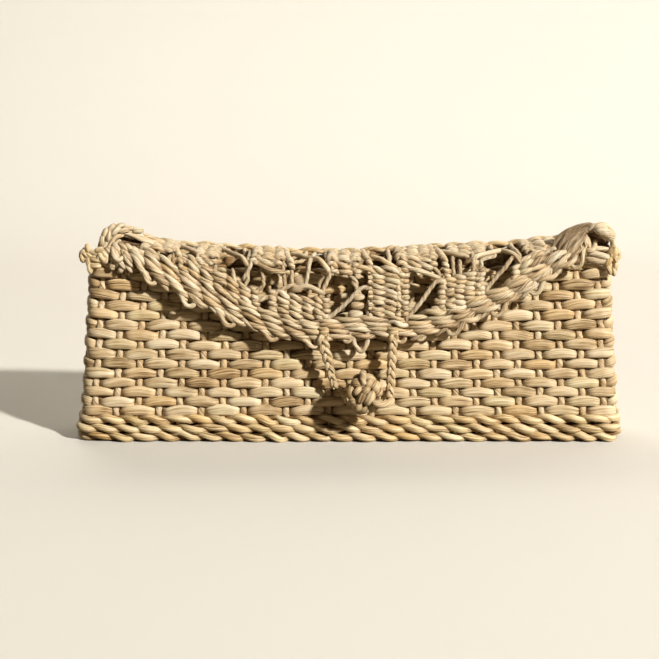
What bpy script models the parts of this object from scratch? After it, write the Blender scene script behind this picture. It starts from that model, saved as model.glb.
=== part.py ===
"""Hand-woven straw envelope clutch: a flat woven tub, a roped base border, a flap that grows out of the
back wall, folds at the front edge of the mouth and hangs over the front wall, and a braided loop that
drops over a knot button.

Metres. +X is right as seen from the front, -Y is the front, +Z is up. The origin is at the middle of the
base, on the plane it rests on. The flap is modelled shut, with the loop round the neck of the knot.
"""

import math

import bmesh
import bpy
from mathutils import Vector

# ---- driving dimensions -----------------------------------------------------------------------
GAP = 0.0003  # running gap between pieces that touch
EASE = 0.0002  # a little extra room, used where stated

# Tub: outer half sizes of the tapering walls, at z = 0 and at the rim
BASE_HALF_W = 0.1660
BASE_HALF_D = 0.0225
RIM_HALF_W = 0.1572
RIM_HALF_D = 0.0172
RIM_Z = 0.1035  # top of the front and side walls
WALL_T = 0.0040

BORDER_ROWS = ("lower", "middle", "upper")
BORDER_R = 0.0026  # half thickness of one base border rope
BORDER_PITCH = 0.0055
BORDER_CORNER = 0.0100  # corner radius of the border rings
BORDER_INSET = 0.0012  # rope centre line, in from the outer wall faces
WALL_Z0 = 2 * BORDER_R + (len(BORDER_ROWS) - 1) * BORDER_PITCH + GAP  # walls stand on the border

CORNER_R = 0.0024
CORNER_INSET = CORNER_R + EASE  # corner cord's centre line, in from the outer faces
WALL_END_INSET = CORNER_INSET + CORNER_R + GAP  # walls stop short of the corner cords

# Rim
RIM_R = 0.0021
RIM_END_INSET = 0.0052  # rim cords stop this far from the front corners, clear of the knots
RIM_KNOT_R = (0.0040, 0.0034, 0.0030)
RIM_KNOT_OUT = 0.0002
RIM_KNOT_RISE = 0.0012  # knot centre above the rim cords' centre line

# Flap: the hinge cord at the back and the crest cord at the front fold
TURN_Z = 0.1110
TURN_R = 0.0020
HINGE_Y = 0.0165
FOLD_Y = -0.0225
FLAP_T = 0.0034
FLAP_HALF_W = 0.1512
BACK_Z = TURN_Z - TURN_R - GAP  # top of the back wall, just under the hinge cord

# Flap bridge, over the mouth
BRIDGE_SIDE_INSET = 0.0040
BRIDGE_BAND = 0.0090  # solid band behind and in front of the windows
BRIDGE_WINDOWS = (  # left x, right x
    (-0.1170, -0.0940), (-0.0820, -0.0640), (-0.0310, -0.0120),
    (0.0125, 0.0310), (0.0540, 0.0710), (0.0920, 0.1070),
)

# Ears: upright rings on the bridge
EAR_X = {"left": -0.1420, "right": 0.1480}
EAR_Y = -0.0120
EAR_RISE = 0.0088  # ring centre above the bridge's top face, besides GAP
EAR_HALF_W = 0.0075
EAR_HALF_H = 0.0068
EAR_CORD_R = 0.0019
EAR_POINTS = 20

# Flap drop, over the front wall
DROP_CLEAR = 0.0018  # air between the hanging flap and the front wall
DROP_TOP_Z = TURN_Z - TURN_R - GAP - EASE
DROP_HALF_W = 0.0990
DROP_EXTRA_X = -0.0840  # one more grid line, in the solid part left of the windows
DROP_WINDOWS = (  # left x, right x
    (-0.0580, -0.0410), (-0.0330, -0.0140), (-0.0090, 0.0115), (0.0330, 0.0530), (0.0700, 0.0900),
)
DROP_ROWS = (0.0, 0.16, 0.70, 1.0)  # grid lines, as shares of the panel's height from its top
WINDOW_CORD_R = 0.0012
WINDOW_CORD_LOW = 0.62  # left end of a window cord, as a share down the panel
WINDOW_CORD_HIGH = 0.24  # right end
WINDOW_CORD_TRIM = 0.0022  # taken off each end

# The flap's hanging edge, left to right: x, z. It is a slack curve, lowest near the loop.
EDGE = (
    (-0.1370, 0.1100), (-0.1250, 0.1050), (-0.1137, 0.0990), (-0.0924, 0.0872),
    (-0.0687, 0.0762), (-0.0450, 0.0683), (-0.0210, 0.0640), (0.0065, 0.0618),
    (0.0300, 0.0635), (0.0567, 0.0703), (0.0810, 0.0808), (0.1035, 0.0920),
    (0.1235, 0.1035), (0.1370, 0.1100),
)
SLOPE_REACH = 0.0020  # the edge's slope is taken over this distance each way
ROWS = 4
ROW_R = 0.0017  # half thickness of a crescent rope on the flap
ROW_PITCH = 0.0038
ROW_STEPS = 60
PANEL_INSET = ROWS * ROW_PITCH + 0.0006  # drop panel's lower edge, inside the hanging edge
HEM_R = 0.0012
HEM_WAVE = 0.0022
HEM_LENGTH = 0.0170  # length of one wave
HEM_STEPS = 150

# Closing loop: middle of the loop, and each leg's centre line from it
LOOP_TOP_X, LOOP_TOP_HALF_W = 0.0060, 0.0195  # at the flap's edge
LOOP_LOW_X, LOOP_LOW_HALF_W = 0.0078, 0.0158  # beside the knot
LOOP_R = 0.0018
LOOP_Y = -0.0288
LOOP_TOP_Z = 0.0620  # height at which the legs' depth on the flap is set
LOOP_LOW_Z = 0.0135
LOOP_END_EASE = 0.0004  # extra room at each end of a leg
LEG_NARROWING = 1.25  # the legs reach their lower spacing after 1 / 1.25 of their length
BIGHT_RISE = 0.0090  # height of the curve that joins the legs
BIGHT_R = 0.0014
BIGHT_STEPS = 12
ANCHOR_RISE = 0.0058  # anchor's middle above the hanging edge
ANCHOR_HALF_H = 0.0034
ANCHOR_RADII = (0.0020, 0.0027, 0.0020)
ANCHOR_END_OUT = 0.0004  # anchor's ends and middle, in front of the leg depth
ANCHOR_MID_OUT = 0.0008

# Knot button
KNOT = (0.0083, -0.0365, 0.0340)
KNOT_R = (0.0125, 0.0105, 0.0130)
SHANK_R = 0.0024
SHANK_EASE = 0.0001  # extra room between the shank and the wall
STOPPER_R = (0.0060, 0.0040, 0.0055)
STOPPER_BACK = 0.0048  # stopper's centre behind the front wall's inner face

# Joint axes
HINGE_AT = (0.0, HINGE_Y, TURN_Z)
FOLD_AT = (0.0, FOLD_Y, TURN_Z)
SWING_AT = (LOOP_TOP_X, LOOP_Y + 0.0003, 0.0680)
TILT_AT = (KNOT[0], -0.0210, KNOT[2])

FRONT, BACK = -1, 1
SIDES = (("left", -1), ("right", 1))
Y_AXIS = (0.0, 1.0, 0.0)
Z_AXIS = (0.0, 0.0, 1.0)

STRAW = {
    "pale": (0.72, 0.58, 0.36),
    "straw": (0.62, 0.47, 0.26),
    "golden": (0.55, 0.38, 0.18),
    "shade": (0.45, 0.31, 0.15),
}


def straw_material(name, tone):
    material = bpy.data.materials.new("straw_" + name)
    material.use_nodes = True
    shader = material.node_tree.nodes["Principled BSDF"]
    shader.inputs["Base Color"].default_value = (*STRAW[tone], 1.0)
    shader.inputs["Roughness"].default_value = 0.68
    shader.inputs["Metallic"].default_value = 0.0
    return material


# ---- shapes -----------------------------------------------------------------------------------
def finish(name, shape, tone, smooth):
    """Turn a bmesh into an object with outward faces and its origin in the middle of its bounds."""
    bmesh.ops.recalc_face_normals(shape, faces=shape.faces[:])
    if shape.calc_volume(signed=True) < 0:
        bmesh.ops.reverse_faces(shape, faces=shape.faces[:])
    for face in shape.faces:
        face.smooth = smooth
    columns = list(zip(*(vert.co for vert in shape.verts)))
    middle = Vector([(min(column) + max(column)) / 2 for column in columns])
    for vert in shape.verts:
        vert.co -= middle
    mesh = bpy.data.meshes.new(name)
    shape.to_mesh(mesh)
    shape.free()
    obj = bpy.data.objects.new(name, mesh)
    obj.location = middle
    obj.data.materials.append(straw_material(name, tone))
    bpy.context.collection.objects.link(obj)


def bridge_rings(shape, first, second):
    """Join two rings of vertices with a band of quads."""
    count = len(first)
    for k in range(count):
        after = (k + 1) % count
        shape.faces.new((first[k], first[after], second[after], second[k]))


def tube(name, points, radius, tone, sides=8, closed=False, up=Z_AXIS):
    """A cord along the points, with one radius or one per point. An open cord has capped ends."""
    points = [Vector(point) for point in points]
    count = len(points)
    shape = bmesh.new()
    rings = []
    for i, here in enumerate(points):
        if closed:
            along = points[(i + 1) % count] - points[i - 1]
        else:
            along = points[min(i + 1, count - 1)] - points[max(i - 1, 0)]
        along.normalize()
        side = along.cross(Vector(up)).normalized()
        rise = side.cross(along).normalized()
        reach = radius[i] if isinstance(radius, tuple) else radius
        ring = []
        for k in range(sides):
            angle = 2 * math.pi * (k + 0.5) / sides
            offset = side * (reach * math.cos(angle)) + rise * (reach * math.sin(angle))
            ring.append(shape.verts.new(here + offset))
        rings.append(ring)
    for first, second in zip(rings, rings[1:]):
        bridge_rings(shape, first, second)
    if closed:
        bridge_rings(shape, rings[-1], rings[0])
    else:
        shape.faces.new(rings[0])
        shape.faces.new(rings[-1])
    finish(name, shape, tone, smooth=True)


def cross_cord(name, half_length, y, z, radius, tone, sides):
    """A straight cord along X, centred on x = 0."""
    tube(name, [(x, y, z) for x in (-half_length, 0, half_length)], radius, tone, sides)


def prism(name, low, high, tone):
    """A solid between a lower and an upper outline with the same number of corners."""
    shape = bmesh.new()
    low = [shape.verts.new(point) for point in low]
    high = [shape.verts.new(point) for point in high]
    shape.faces.new(low[::-1])
    shape.faces.new(high)
    bridge_rings(shape, low, high)
    finish(name, shape, tone, smooth=False)


def lattice(name, across, down, holes, place, tone):
    """A slab FLAP_T thick over a grid with cells left open.

    place(u, v) gives a mid-surface point and its normal for a value of across and one of down.
    """
    cells = {(i, j) for i in range(len(across) - 1) for j in range(len(down) - 1)}
    solid = cells - set(holes)
    shape = bmesh.new()
    verts = {}

    def vert(i, j, side):
        if (i, j, side) not in verts:
            point, normal = place(across[i], down[j])
            verts[i, j, side] = shape.verts.new(point + normal * (side * FLAP_T / 2))
        return verts[i, j, side]

    for i, j in solid:
        corners = ((i, j), (i + 1, j), (i + 1, j + 1), (i, j + 1))
        shape.faces.new([vert(*corner, 1) for corner in corners])
        shape.faces.new([vert(*corner, -1) for corner in reversed(corners)])
        neighbours = ((i, j - 1), (i + 1, j), (i, j + 1), (i - 1, j))
        for k, neighbour in enumerate(neighbours):
            if neighbour not in solid:
                start, end = corners[k], corners[(k + 1) % 4]
                shape.faces.new((vert(*end, 1), vert(*start, 1), vert(*start, -1), vert(*end, -1)))
    finish(name, shape, tone, smooth=False)


def ball(name, centre, radii, tone, around, rows):
    shape = bmesh.new()
    bmesh.ops.create_uvsphere(shape, u_segments=around, v_segments=rows, radius=1.0)
    for vert in shape.verts:
        vert.co = vert.co * Vector(radii) + Vector(centre)
    finish(name, shape, tone, smooth=True)


# ---- measures ---------------------------------------------------------------------------------
def stations(start, end, steps):
    """Evenly spaced values from start to end, both included."""
    return [start + (end - start) * k / steps for k in range(steps + 1)]


def ring_points(half_w, half_d, corner, z, per_corner):
    """A level rectangle with rounded corners."""
    points = []
    for x_sign, y_sign, start in ((1, 1, 0.0), (-1, 1, 90.0), (-1, -1, 180.0), (1, -1, 270.0)):
        centre_x = x_sign * (half_w - corner)
        centre_y = y_sign * (half_d - corner)
        for degrees in stations(start, start + 90.0, per_corner):
            angle = math.radians(degrees)
            x = centre_x + corner * math.cos(angle)
            points.append((x, centre_y + corner * math.sin(angle), z))
    return points


def outer_half_w(z):
    return BASE_HALF_W + (RIM_HALF_W - BASE_HALF_W) * z / RIM_Z


def outer_half_d(z):
    return BASE_HALF_D + (RIM_HALF_D - BASE_HALF_D) * z / RIM_Z


def edge_z(x):
    """The flap's hanging edge: a smooth cubic curve through EDGE, level beyond its ends."""
    if x <= EDGE[0][0]:
        return EDGE[0][1]
    if x >= EDGE[-1][0]:
        return EDGE[-1][1]
    k = next(k for k in range(len(EDGE) - 1) if x <= EDGE[k + 1][0])
    (start_x, start_z), (end_x, end_z) = EDGE[k], EDGE[k + 1]
    before_x, before_z = EDGE[max(k - 1, 0)]
    after_x, after_z = EDGE[min(k + 2, len(EDGE) - 1)]
    span = end_x - start_x
    start_rise = (end_z - before_z) / (end_x - before_x) * span
    end_rise = (after_z - start_z) / (after_x - start_x) * span
    t = (x - start_x) / span
    return (
        (2 * t**3 - 3 * t**2 + 1) * start_z
        + (t**3 - 2 * t**2 + t) * start_rise
        + (3 * t**2 - 2 * t**3) * end_z
        + (t**3 - t**2) * end_rise
    )


def edge_point(x, inset):
    """A point `inset` inside the hanging edge, square to it, in the (x, z) plane of the flap."""
    slope = (edge_z(x + SLOPE_REACH) - edge_z(x - SLOPE_REACH)) / (2 * SLOPE_REACH)
    length = math.hypot(1.0, slope)
    return x - slope / length * inset, edge_z(x) + inset / length


def drop_y(z):
    """Mid surface of the hanging part of the flap."""
    return -outer_half_d(z) - DROP_CLEAR - FLAP_T / 2


def panel_low(x):
    """Lower edge of the drop panel: the highest inset edge point close to x."""
    step, tolerance = 0.0006, 0.0009
    nearby = [edge_point(x + k * step, PANEL_INSET) for k in range(-40, 41)]
    return max(near_z for near_x, near_z in nearby if abs(near_x - x) < tolerance)


def drop_place(x, share):
    """Point and normal of the drop panel, a share of the way down from its top."""
    z = DROP_TOP_Z + (panel_low(x) - DROP_TOP_Z) * share
    lean = (BASE_HALF_D - RIM_HALF_D) / RIM_Z
    return Vector((x, drop_y(z), z)), Vector((0.0, -1.0, lean)).normalized()


# ---- tub --------------------------------------------------------------------------------------
def base_border():
    for n, row in enumerate(BORDER_ROWS):
        z = BORDER_R + n * BORDER_PITCH
        half_w = outer_half_w(z) - BORDER_INSET
        half_d = outer_half_d(z) - BORDER_INSET
        points = ring_points(half_w, half_d, BORDER_CORNER, z, per_corner=6)
        tube("base_border_" + row, points, BORDER_R, "straw", sides=10, closed=True)


def base_panel():
    """The floor, inside the border."""
    inset = BORDER_INSET + BORDER_R + GAP + EASE
    corner = BORDER_CORNER - BORDER_R
    low, high = (
        ring_points(BASE_HALF_W - inset, BASE_HALF_D - inset, corner, z, per_corner=4)
        for z in (0.0, WALL_T)
    )
    prism("base_panel", low, high, "shade")


def long_wall(name, sign, top):
    outlines = []
    for z in (WALL_Z0, top):
        x = outer_half_w(z) - WALL_END_INSET
        outer = sign * outer_half_d(z)
        inner = outer - sign * WALL_T
        outlines.append([(-x, outer, z), (x, outer, z), (x, inner, z), (-x, inner, z)])
    prism(name, *outlines, "straw")


def side_wall(name, sign):
    outlines = []
    for z in (WALL_Z0, RIM_Z):
        y = outer_half_d(z) - WALL_END_INSET
        outer = sign * outer_half_w(z)
        inner = outer - sign * WALL_T
        outlines.append([(outer, -y, z), (outer, y, z), (inner, y, z), (inner, -y, z)])
    prism(name, *outlines, "straw")


def corner_cord(name, x_sign, y_sign):
    line = [
        (x_sign * (outer_half_w(z) - CORNER_INSET), y_sign * (outer_half_d(z) - CORNER_INSET), z)
        for z in stations(WALL_Z0, RIM_Z, 4)
    ]
    tube(name, line, CORNER_R, "golden", sides=10, up=Y_AXIS)


def tub():
    base_border()
    base_panel()
    long_wall("front_wall", FRONT, RIM_Z)
    long_wall("back_wall", BACK, BACK_Z)
    for side, sign in SIDES:
        side_wall("side_wall_" + side, sign)
    for end, y_sign in (("front", FRONT), ("back", BACK)):
        for side, x_sign in SIDES:
            corner_cord(f"corner_cord_{end}_{side}", x_sign, y_sign)


def rim():
    """Cords on the front and side walls, and a knot at each front corner."""
    z = RIM_Z + GAP + RIM_R
    half_x = RIM_HALF_W - WALL_T / 2
    half_y = RIM_HALF_D - WALL_T / 2
    cross_cord("rim_cord_front", half_x - RIM_END_INSET, -half_y, z, RIM_R, "golden", sides=8)
    for side, sign in SIDES:
        line = [(sign * half_x, y, z) for y in (-half_y + RIM_END_INSET, 0.0, half_y - RIM_R)]
        tube("rim_cord_" + side, line, RIM_R, "golden")
        centre = (sign * (half_x + RIM_KNOT_OUT), -half_y, z + RIM_KNOT_RISE)
        ball("rim_knot_" + side, centre, RIM_KNOT_R, "pale", around=12, rows=8)


# ---- flap -------------------------------------------------------------------------------------
def flap_bridge_panel():
    half_w = FLAP_HALF_W - BRIDGE_SIDE_INSET
    back = HINGE_Y - TURN_R - GAP
    front = FOLD_Y + TURN_R + GAP
    lattice(
        "flap_bridge_panel",
        across=(-half_w, *(x for window in BRIDGE_WINDOWS for x in window), half_w),
        down=(back, back - BRIDGE_BAND, front + BRIDGE_BAND, front),
        holes=[(2 * n + 1, 1) for n in range(len(BRIDGE_WINDOWS))],
        place=lambda x, y: (Vector((x, y, TURN_Z)), Vector(Z_AXIS)),
        tone="pale",
    )


def flap_ear(side):
    centre = Vector((EAR_X[side], EAR_Y, TURN_Z + FLAP_T / 2 + GAP + EAR_RISE))
    line = []
    for k in range(EAR_POINTS):
        angle = 2 * math.pi * k / EAR_POINTS
        line.append(centre + Vector((EAR_HALF_W * math.cos(angle), 0, EAR_HALF_H * math.sin(angle))))
    tube("flap_ear_" + side, line, EAR_CORD_R, "pale", closed=True, up=Y_AXIS)


def flap_drop_panel():
    window_x = (x for window in DROP_WINDOWS for x in window)
    lattice(
        "flap_drop_panel",
        across=(-DROP_HALF_W, DROP_EXTRA_X, *window_x, DROP_HALF_W),
        down=DROP_ROWS,
        holes=[(2 * n + 2, 1) for n in range(len(DROP_WINDOWS))],
        place=drop_place,
        tone="straw",
    )


def flap_window_cords():
    """A cord across each drop window, rising to the right."""
    for n, (left, right) in enumerate(DROP_WINDOWS):
        start = drop_place(left, WINDOW_CORD_LOW)[0]
        end = drop_place(right, WINDOW_CORD_HIGH)[0]
        trim = (end - start).normalized() * WINDOW_CORD_TRIM
        start, end = start + trim, end - trim
        line = [start, (start + end) / 2, end]
        tube(f"flap_window_cord_{n + 1}", line, WINDOW_CORD_R, "pale", up=Y_AXIS)


def flap_border_rows():
    """Crescent ropes inside the hanging edge, stopped below the top of the drop."""
    for n in range(ROWS):
        line = []
        for x in stations(EDGE[0][0], EDGE[-1][0], ROW_STEPS):
            row_x, row_z = edge_point(x, ROW_R + EASE + n * ROW_PITCH)
            if row_z < DROP_TOP_Z - ROW_R - EASE:
                line.append((row_x, drop_y(row_z), row_z))
        tone = "straw" if n % 2 else "pale"
        tube(f"flap_border_row_{n + 1}", line, ROW_R, tone, up=Y_AXIS)


def flap_hem():
    """A wavy cord just outside the hanging edge."""
    start = EDGE[1][0]
    line = []
    for x in stations(start, EDGE[-2][0], HEM_STEPS):
        wave = HEM_WAVE * (0.5 - 0.5 * math.cos(2 * math.pi * (x - start) / HEM_LENGTH))
        hem_x, hem_z = edge_point(x, -(HEM_R + EASE + wave))
        line.append((hem_x, drop_y(hem_z), hem_z))
    tube("flap_hem", line, HEM_R, "pale", sides=6, up=Y_AXIS)


def flap():
    cross_cord("flap_hinge_row", FLAP_HALF_W, HINGE_Y, TURN_Z, TURN_R, "golden", sides=12)
    cross_cord("flap_crest_row", FLAP_HALF_W, FOLD_Y, TURN_Z, TURN_R, "pale", sides=12)
    flap_bridge_panel()
    for side in EAR_X:
        flap_ear(side)
    flap_drop_panel()
    flap_window_cords()
    flap_border_rows()
    flap_hem()


# ---- closing loop and button ------------------------------------------------------------------
def closing_loop():
    """Two anchors on the flap, a leg down from each, and the bight that joins the legs."""
    leg_y = drop_y(LOOP_TOP_Z) - FLAP_T / 2 - GAP - LOOP_R
    end_y = leg_y - ANCHOR_END_OUT
    bight_z = LOOP_LOW_Z + BIGHT_RISE
    for side, sign in SIDES:
        top_x = LOOP_TOP_X + sign * LOOP_TOP_HALF_W
        low_x = LOOP_LOW_X + sign * LOOP_LOW_HALF_W
        anchor_z = edge_z(top_x) + ANCHOR_RISE
        anchor = [
            (top_x, end_y, anchor_z + ANCHOR_HALF_H),
            (top_x, leg_y - ANCHOR_MID_OUT, anchor_z),
            (top_x, end_y, anchor_z - ANCHOR_HALF_H),
        ]
        tube("loop_anchor_" + side, anchor, ANCHOR_RADII, "golden", up=Y_AXIS)

        top_z = anchor_z - ANCHOR_HALF_H - GAP - LOOP_END_EASE
        low_z = bight_z + GAP + LOOP_END_EASE
        leg = []
        for share in stations(0.0, 1.0, 6):
            x = top_x + (low_x - top_x) * min(1.0, LEG_NARROWING * share)
            leg.append((x, end_y + (LOOP_Y - end_y) * share, top_z + (low_z - top_z) * share))
        tube("closure_loop_leg_" + side, leg, LOOP_R, "straw", up=Y_AXIS)

    arc = []
    for angle in stations(math.pi, 2 * math.pi, BIGHT_STEPS):
        x = LOOP_LOW_X + LOOP_LOW_HALF_W * math.cos(angle)
        arc.append((x, LOOP_Y, bight_z + BIGHT_RISE * math.sin(angle)))
    tube("closure_loop_bight", arc, BIGHT_R, "pale", up=Y_AXIS)


def button():
    """The knot, its shank to the front wall, and the stopper knot inside the tub."""
    x, y, z = KNOT
    wall_y = -outer_half_d(z)
    ball("knot_button", KNOT, KNOT_R, "straw", around=24, rows=16)
    shank = [(x, y + KNOT_R[1] + GAP, z), (x, wall_y - GAP - SHANK_EASE, z)]
    tube("knot_shank", shank, SHANK_R, "golden", sides=12)
    stopper = (x, wall_y + WALL_T + STOPPER_BACK, z)
    ball("inner_stopper_knot", stopper, STOPPER_R, "golden", around=16, rows=10)


# ---- what turns on what: one empty on each joint's axis ---------------------------------------
FLAP_BRIDGE = ("flap_bridge_panel", "flap_crest_row", "flap_ear_left", "flap_ear_right")
FLAP_DROP = (
    "flap_drop_panel",
    "flap_hem",
    "loop_anchor_left",
    "loop_anchor_right",
    *(f"flap_window_cord_{n + 1}" for n in range(len(DROP_WINDOWS))),
    *(f"flap_border_row_{n + 1}" for n in range(ROWS)),
)
LOOP = ("closure_loop_leg_left", "closure_loop_leg_right", "closure_loop_bight")
BUTTON = ("knot_button", "knot_shank")


def axis_empty(name, where, pieces, parent=None, parent_at=(0, 0, 0)):
    """An empty at a world place that carries the pieces, which stay where they are."""
    empty = bpy.data.objects.new(name, None)
    empty.empty_display_size = 0.01
    bpy.context.collection.objects.link(empty)
    empty.parent = parent
    empty.location = Vector(where) - Vector(parent_at)
    for piece in pieces:
        obj = bpy.data.objects[piece]
        obj.parent = empty
        obj.location -= Vector(where)
    return empty


def joints():
    hinge = axis_empty("axis_flap_hinge", HINGE_AT, FLAP_BRIDGE)
    fold = axis_empty("axis_flap_fold", FOLD_AT, FLAP_DROP, hinge, HINGE_AT)
    axis_empty("axis_loop_swing", SWING_AT, LOOP, fold, FOLD_AT)
    axis_empty("axis_button_tilt", TILT_AT, BUTTON)


for old in list(bpy.data.objects):
    bpy.data.objects.remove(old, do_unlink=True)
tub()
rim()
flap()
closing_loop()
button()
joints()
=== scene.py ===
"""A hand-woven straw clutch, built cord by cord on the frame's walls and flap.

The tub stands on z = 0, long in x, with its front wall towards -y. The flap runs forward from a hinge
at the back of the rim, folds over the front rim and hangs down the front, where a braided loop passes
behind a knot. Every stake, weft, twined rope, braid and knot strand is its own swept cord. Lengths are
in metres; tables marked mm are scaled by MM.
"""

import math

import bpy
import numpy as np
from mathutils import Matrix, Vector


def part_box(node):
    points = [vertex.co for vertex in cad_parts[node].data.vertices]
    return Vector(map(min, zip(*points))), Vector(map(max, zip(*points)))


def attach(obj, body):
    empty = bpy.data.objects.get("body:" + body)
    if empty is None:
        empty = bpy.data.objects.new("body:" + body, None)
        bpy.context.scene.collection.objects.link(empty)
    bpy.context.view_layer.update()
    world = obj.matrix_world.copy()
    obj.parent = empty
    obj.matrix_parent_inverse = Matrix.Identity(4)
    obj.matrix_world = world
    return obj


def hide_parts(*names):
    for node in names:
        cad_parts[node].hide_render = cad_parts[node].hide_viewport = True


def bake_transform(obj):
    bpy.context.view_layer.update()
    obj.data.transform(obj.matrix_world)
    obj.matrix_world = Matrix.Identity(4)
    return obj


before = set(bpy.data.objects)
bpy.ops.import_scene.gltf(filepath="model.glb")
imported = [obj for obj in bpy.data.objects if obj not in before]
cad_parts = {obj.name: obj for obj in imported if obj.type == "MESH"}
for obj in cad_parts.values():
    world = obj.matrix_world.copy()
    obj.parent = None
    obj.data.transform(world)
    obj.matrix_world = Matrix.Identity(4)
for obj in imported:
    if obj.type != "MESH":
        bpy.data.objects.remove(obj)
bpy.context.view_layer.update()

rng = np.random.default_rng(20)
MM = 0.001

# ---- Frame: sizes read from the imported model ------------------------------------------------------


def corners(node):
    """Low and high corners of a node's box."""
    low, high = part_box(node)
    return np.array(low, float), np.array(high, float)


def middle(node):
    low, high = corners(node)
    return (low + high) / 2


front_low, front_high = corners("front_wall")
RIM_Z = front_high[2]
WALL_Z0 = front_low[2]
# Half length in x and half depth in y of the tub's outer faces, at the rim and at the foot.
HALF_X_TOP = float(middle("rim_cord_right")[0]) + 0.0020
HALF_X_LOW = corners("side_wall_right")[1][0]
HALF_Y_TOP = 0.0172
HALF_Y_LOW = -front_low[1]
TAPER_X = (HALF_X_LOW - HALF_X_TOP) / (RIM_Z - WALL_Z0)
TAPER_Y = (HALF_Y_LOW - HALF_Y_TOP) / (RIM_Z - WALL_Z0)
_, HINGE_Y, HINGE_Z = middle("flap_hinge_row")
_, FOLD_Y, FOLD_Z = middle("flap_crest_row")

# ---- Straw material -------------------------------------------------------------------------------


def new_material(name):
    material = bpy.data.materials.new(name)
    material.use_nodes = True
    tree = material.node_tree
    return material, tree, tree.nodes["Principled BSDF"]


def set_inputs(tree, node, inputs):
    """Gives each input its value, or links it when the value is a socket."""
    for key, value in inputs.items():
        if isinstance(value, bpy.types.NodeSocket):
            tree.links.new(value, node.inputs[key])
        else:
            node.inputs[key].default_value = value


def add_node(tree, kind, inputs, **settings):
    node = tree.nodes.new("ShaderNode" + kind)
    for key, value in settings.items():
        setattr(node, key, value)
    set_inputs(tree, node, inputs)
    return node


def add_ramp(tree, factor, *stops):
    """A colour ramp through (position, colour) stops, in rising order."""
    ramp = add_node(tree, "ValToRGB", {0: factor})
    elements = ramp.color_ramp.elements
    for element, (position, colour) in ((elements[0], stops[0]), (elements[1], stops[-1])):
        element.position = position
        element.color = (*colour, 1)
    for position, colour in stops[1:-1]:
        elements.new(position).color = (*colour, 1)
    return ramp.outputs[0]


def add_mix(tree, factor, first, second, **settings):
    inputs = {"Factor": factor, "A": first, "B": second}
    return add_node(tree, "Mix", inputs, data_type="RGBA", **settings).outputs["Result"]


DEEP = (0.16, 0.088, 0.032)


def husk(name, pale, mid, deep=DEEP, gloss=0.0, shade=(0.34, 0.23, 0.12)):
    """Dried husk: fibre streaks that follow each cord and its twist, with painted shade darkening the
    creases.

    Reads the cords' "fib" attribute (place in the fibre) and "tint" (tone, hue, painted shade).
    """
    material, tree, shader = new_material(name)
    fib = add_node(tree, "Attribute", {}, attribute_name="fib").outputs["Vector"]
    tint = add_node(tree, "Attribute", {}, attribute_name="tint").outputs["Vector"]
    cord_tone, cord_hue, cord_painted_shade = add_node(tree, "SeparateXYZ", {0: tint}).outputs

    def streak(along, across, detail, roughness=0.55):
        stretch = {0: fib, 1: (along, across, across)}
        stretched = add_node(tree, "VectorMath", stretch, operation="MULTIPLY").outputs[0]
        noise = {"Vector": stretched, "Scale": 1.0, "Detail": detail, "Roughness": roughness}
        return add_node(tree, "TexNoise", noise).outputs["Fac"]

    def maths(operation, first, second, clamp=False):
        inputs = {0: first, 1: second}
        return add_node(tree, "Math", inputs, operation=operation, use_clamp=clamp).outputs[0]

    def plus_centred(tone, noise, strength, clamp=False):
        varied = maths("MULTIPLY", maths("SUBTRACT", noise, 0.5), strength)
        return maths("ADD", tone, varied, clamp)

    fine = streak(along=55, across=2250, detail=3.0, roughness=0.62)
    broad = streak(along=32, across=1200, detail=2.0)
    patch = streak(along=70, across=120, detail=2.0)
    tone = plus_centred(cord_tone, patch, strength=0.9)
    tone = plus_centred(tone, broad, strength=1.5)
    tone = plus_centred(tone, fine, strength=2.0, clamp=True)
    half_pale = 0.55 * np.array(pale) + 0.45 * np.array(mid)
    straw = add_ramp(tree, tone, (0.0, deep), (0.38, mid), (0.72, half_pale), (1.0, pale))

    # some cords lean golden, a few lean green-grey
    green, plain, golden = (0.97, 1.0, 0.90), (1.0, 1.0, 1.0), (1.0, 0.86, 0.62)
    lean = add_ramp(tree, cord_hue, (0.0, green), (0.35, plain), (1.0, golden))
    leaning = add_mix(tree, 0.8, straw, lean, blend_type="MULTIPLY")
    # painted shade: the tint's third channel pulls the straw towards the shade colour in creases,
    # grooves and where strands pass behind others
    shaded_straw = add_mix(tree, cord_painted_shade, leaning, (*shade, 1), blend_type="MULTIPLY")
    rough = maths("ADD", maths("MULTIPLY", fine, 0.26), 0.41 - gloss)

    coarse_bump = {"Strength": 0.75, "Distance": 0.0007, "Height": broad}
    coarse = add_node(tree, "Bump", coarse_bump).outputs[0]
    fine_bump = {"Strength": 0.8, "Distance": 0.00036, "Height": fine, "Normal": coarse}
    set_inputs(tree, shader, {
        "Base Color": shaded_straw,
        "Roughness": rough,
        "Metallic": 0.0,
        "Specular IOR Level": 0.48,
        "Sheen Weight": 0.12,
        "Sheen Roughness": 0.5,
        "Sheen Tint": (1.0, 0.93, 0.78, 1),
        "Normal": add_node(tree, "Bump", fine_bump).outputs[0],
    })
    return material


MAT_WEFT = husk("husk_weft", pale=(0.79, 0.675, 0.475), mid=(0.53, 0.385, 0.20))
MAT_STAKE = husk("husk_stake", pale=(0.78, 0.66, 0.46), mid=(0.54, 0.39, 0.205))
MAT_ROPE = husk("husk_rope", pale=(0.79, 0.67, 0.44), mid=(0.54, 0.385, 0.18),
                deep=(0.16, 0.088, 0.03), gloss=0.04)
# the flap's straw is set a little darker than the walls', partly as painted shade for its shadowed
# openwork, and its shade colour is deeper for darker painted shade
MAT_FLAP = husk("husk_flap", pale=(0.74, 0.645, 0.475), mid=(0.50, 0.37, 0.205),
                gloss=0.02, shade=(0.20, 0.12, 0.05))
MAT_LOOP = husk("husk_loop", pale=(0.74, 0.63, 0.43), mid=(0.50, 0.36, 0.18), gloss=0.03)
MAT_BASE = husk("husk_base", pale=(0.62, 0.50, 0.32), mid=(0.42, 0.295, 0.145),
                deep=(0.18, 0.11, 0.042))

# ---- Curve tools ----------------------------------------------------------------------------------


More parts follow.
